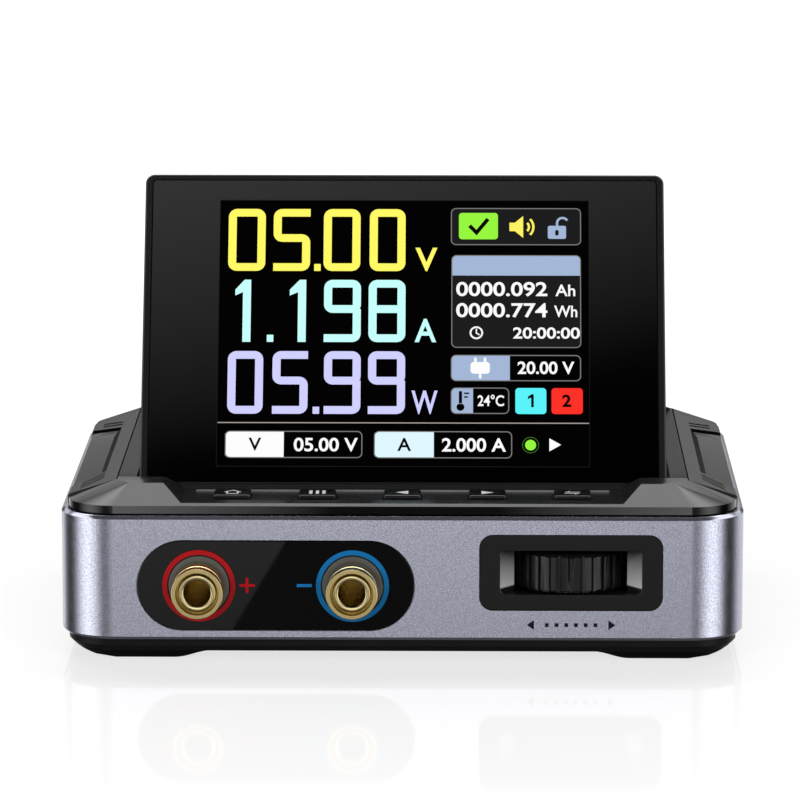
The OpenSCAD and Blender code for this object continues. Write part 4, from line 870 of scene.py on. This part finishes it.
bpy.ops.object.select_all(action="DESELECT")
bpy.ops.mesh.primitive_plane_add(size=6, location=(0, 0, 0))
table_top = bpy.context.object
table_top.name = "table_top"
floor_white = new_finish("floor_white", (0.2, 0.2, 0.2), 0.06, specular=0.06)
nodes, links = floor_white.node_tree.nodes, floor_white.node_tree.links
spot = nodes.new("ShaderNodeTexCoord")
reach = nodes.new("ShaderNodeVectorMath")
reach.operation = "LENGTH"
far = nodes.new("ShaderNodeMapRange")
for socket, value in (("From Min", 0.06), ("From Max", 0.3), ("To Min", 0.73), ("To Max", 1.0)):
    far.inputs[socket].default_value = value
ray = nodes.new("ShaderNodeLightPath")
share = nodes.new("ShaderNodeMath")
share.operation = "MULTIPLY"
glow = nodes.new("ShaderNodeEmission")
both = nodes.new("ShaderNodeAddShader")
links.new(spot.outputs["Object"], reach.inputs[0])
links.new(reach.outputs["Value"], far.inputs["Value"])
links.new(far.outputs["Result"], share.inputs[0])
links.new(ray.outputs["Is Camera Ray"], share.inputs[1])
links.new(share.outputs["Value"], glow.inputs["Strength"])
links.new(nodes["Principled BSDF"].outputs["BSDF"], both.inputs[0])
links.new(glow.outputs["Emission"], both.inputs[1])
links.new(both.outputs["Shader"], nodes["Material Output"].inputs["Surface"])
table_top.data.materials.append(floor_white)
table_top.visible_glossy = False

# Light
# One large soft light stands behind and above, with weak fill from the front. Polished and metal
# parts also mirror the room: tall white panels at both front corners, dark flags between them, and
# softboxes over the back and the sides.

world = bpy.data.worlds.new("white_room")
bpy.context.scene.world = world
world.use_nodes = True
world.cycles.sampling_method = "NONE"
room, room_links = world.node_tree.nodes, world.node_tree.links


def feed(sockets, values):
    for socket, value in zip(sockets, values):
        if isinstance(value, (int, float)):
            socket.default_value = value
        else:
            room_links.new(value, socket)


def reckon(operation, *values):
    node = room.new("ShaderNodeMath")
    node.operation = operation
    feed(node.inputs, values)
    return node.outputs["Value"]


def plus_of(first, second):
    return reckon("ADD", first, second)


def product(first, *others):
    for other in others:
        first = reckon("MULTIPLY", first, other)
    return first


def clamped(value, low, high):
    return reckon("MINIMUM", reckon("MAXIMUM", value, low), high)


def either_of(share, first, second):
    node = room.new("ShaderNodeMix")
    feed([node.inputs[name] for name in ("Factor", "A", "B")], (share, first, second))
    return node.outputs["Result"]


def step_of(value, start, end):
    """0 at start, 1 at end and a straight ramp between."""
    node = room.new("ShaderNodeMapRange")
    feed([node.inputs[name] for name in ("Value", "From Min", "From Max")], (value, start, end))
    return node.outputs["Result"]


# The direction that is looked in, as shares from -1 to 1 of east, up and front
toward = room.new("ShaderNodeTexCoord")
split = room.new("ShaderNodeSeparateXYZ")
room_links.new(toward.outputs["Generated"], split.inputs["Vector"])
east, up = split.outputs["X"], split.outputs["Z"]
front = product(split.outputs["Y"], -1)
aside = reckon("ABSOLUTE", east)

# Walls: degrees round from the front, left negative, and how bright the room is there
stops = (
    (-180, 0.6), (-160, 0.93), (-148, 1.15), (-139, 0.72), (-129, 0.25), (-121, 0.07),
    (-106, 0.04), (-98, 0.15), (-88, 0.66), (-77, 1.57), (-64, 2.2), (-53, 2), (-43, 1.35),
    (-34, 0.62), (-27, 0.22), (-17, 0.2), (-9, 0.48), (-5, 0.71), (4, 0.71), (8, 0.24), (15, 0.2),
    (21, 0.38), (28, 0.88), (37, 1.58), (48, 2.1), (60, 1.8), (70, 1.12), (79, 0.28), (86, 0.04),
    (103, 0.02), (118, 0.5), (128, 0.95),
)
brightest = 2.5
panels = room.new("ShaderNodeValToRGB")
turn = reckon("DIVIDE", plus_of(reckon("ARCTAN2", east, front), pi), 2 * pi)
room_links.new(turn, panels.inputs["Fac"])
for i, (degrees, bright) in enumerate(stops):
    place = (degrees + 180) / 360
    stop = panels.color_ramp.elements[i] if i < 2 else panels.color_ramp.elements.new(place)
    stop.position = place
    stop.color = (bright / brightest, bright / brightest, bright / brightest, 1)
walls = product(panels.outputs["Color"], brightest)

# In front the wall brightens upwards, which the upright metal band mirrors
even_height, gain = -0.22, 15
ahead = step_of(front, 0.9, 0.96)
slope = clamped(product(plus_of(up, -even_height), gain), -0.9, 1.4)
walls = product(walls, plus_of(1, product(slope, ahead)))

# A dark card with a slanted edge stands there and gives the terminal plate its slanted gleam
across = reckon("DIVIDE", east, front)
rise = reckon("DIVIDE", up, front)
edge_slope, edge_place, card_end, card_height, card_half = 0.594, 0.092, -0.0085, -0.2285, 0.0145
slant = reckon("SUBTRACT", across, product(rise, edge_slope))
card = product(reckon("GREATER_THAN", slant, edge_place), reckon("LESS_THAN", across, card_end),
               reckon("COMPARE", rise, card_height, card_half))
walls = either_of(product(card, ahead), walls, 0.16)

# A thin strip above the card, dark in the middle, is what the cover's rim mirrors
strip_height, strip_half, dark_place, dark_half, dark_level = -0.2091, 0.0022, -0.0095, 0.0174, 0.1
strip = product(reckon("COMPARE", rise, strip_height, strip_half),
                reckon("LESS_THAN", reckon("ABSOLUTE", across), 0.1))
past_dark = reckon("SUBTRACT", reckon("ABSOLUTE", plus_of(across, -dark_place)), dark_half)
strip_level = plus_of(product(reckon("MAXIMUM", past_dark, 0), 50), dark_level)
walls = either_of(product(strip, ahead), walls, reckon("MINIMUM", strip_level, 2.2))

# Behind, the wall is dim low down and brightens in steps
behind = step_of(front, -0.5, -0.7)
low_back = plus_of(0.04, product(step_of(up, 0.08, 0.15), 0.28))
low_back = plus_of(low_back, product(step_of(up, 0.2, 0.26), 0.7))
low_back = plus_of(low_back, product(step_of(up, 0.03, -0.02), 0.25))
walls = either_of(product(behind, step_of(up, -0.12, -0.06)), walls, low_back)

# The ceiling is dark, but for the faint light that the screen mirrors
mirrored = plus_of(0.41, reckon("SUBTRACT", product(reckon("SUBTRACT", up, 0.707), 20),
                                product(east, 3.3)))
window_part = product(step_of(up, 0.6, 0.66), step_of(up, 0.8, 0.74), step_of(aside, 0.2, 0.12))
ceiling = either_of(window_part, 0.12, clamped(mirrored, 0, 1))

# A large softbox hangs over the back, and a weaker one over each side
softbox = product(step_of(up, 0.45, 0.6), step_of(front, -0.1, -0.3), step_of(aside, 0.58, 0.5),
                  step_of(front, -0.75, -0.4))
ceiling = either_of(softbox, ceiling, 5.6)
high_panel = product(step_of(aside, 0.5, 0.6), step_of(aside, 0.92, 0.84),
                     product(step_of(front, -0.6, -0.45), step_of(front, 0.4, 0.2)))
ceiling = either_of(product(high_panel, step_of(up, 0.3, 0.4)), ceiling, 1.9)

# The ceiling begins lower at the front than at the back, above a white panel at each side
over = plus_of(product(step_of(up, 0.3, 0.42), step_of(front, -0.4, -0.2)),
               step_of(up, 0.42, 0.55))
side_panel = product(step_of(aside, 0.85, 0.92), step_of(up, 0.1, 0.16))
walls = either_of(side_panel, walls, 1.8)
glossy = either_of(reckon("MINIMUM", over, 1), walls, ceiling)
glossy = either_of(step_of(up, -0.35, -0.5), glossy, 0.12)

seen = room.new("ShaderNodeLightPath")
plain = reckon("MAXIMUM", seen.outputs["Is Camera Ray"], seen.outputs["Is Transmission Ray"])
level = either_of(plain, either_of(seen.outputs["Is Glossy Ray"], 0.3, glossy), 1)
room_links.new(level, room["Background"].inputs["Strength"])
room["Background"].inputs["Color"].default_value = (1, 1, 1, 1)


def soft_light(name, place, w, h, watts):
    """An area lamp aimed at the middle of the case, which polished parts don't mirror."""
    bpy.ops.object.select_all(action="DESELECT")
    bpy.ops.object.light_add(type="AREA", location=place)
    lamp = bpy.context.object
    lamp.name = name
    lamp.data.shape = "RECTANGLE"
    lamp.data.size = w
    lamp.data.size_y = h
    lamp.data.energy = watts
    aim = Vector((0, 0, 0.03)) - Vector(place)
    lamp.rotation_euler = aim.to_track_quat("-Z", "Y").to_euler()
    lamp.visible_glossy = False


soft_light("back_and_above", (0, 0.45, 0.75), 0.9, 0.35, 6)
soft_light("front_left", (-0.55, -0.75, 0.45), 0.35, 0.5, 2.5)
soft_light("front_right", (0.6, -0.7, 0.45), 0.35, 0.5, 2)

# Camera
# A long lens a little above the object, almost square to its front. Its length comes from the
# perspective of the case's edges, in pixels of a frame 800 wide.

focal_pixels, frame_pixels = 4961.6, 800
look_down, look_aside = 0.184, 0.0126
bpy.ops.object.select_all(action="DESELECT")
bpy.ops.object.camera_add(location=(0.009006, -0.7706, 0.17763),
                          rotation=(pi / 2 - look_down, 0, look_aside))
camera = bpy.context.object
camera.data.sensor_width = 36
camera.data.lens = focal_pixels / frame_pixels * camera.data.sensor_width
camera.data.clip_start = 0.01
bpy.context.scene.camera = camera

bpy.context.scene.view_settings.view_transform = "Standard"
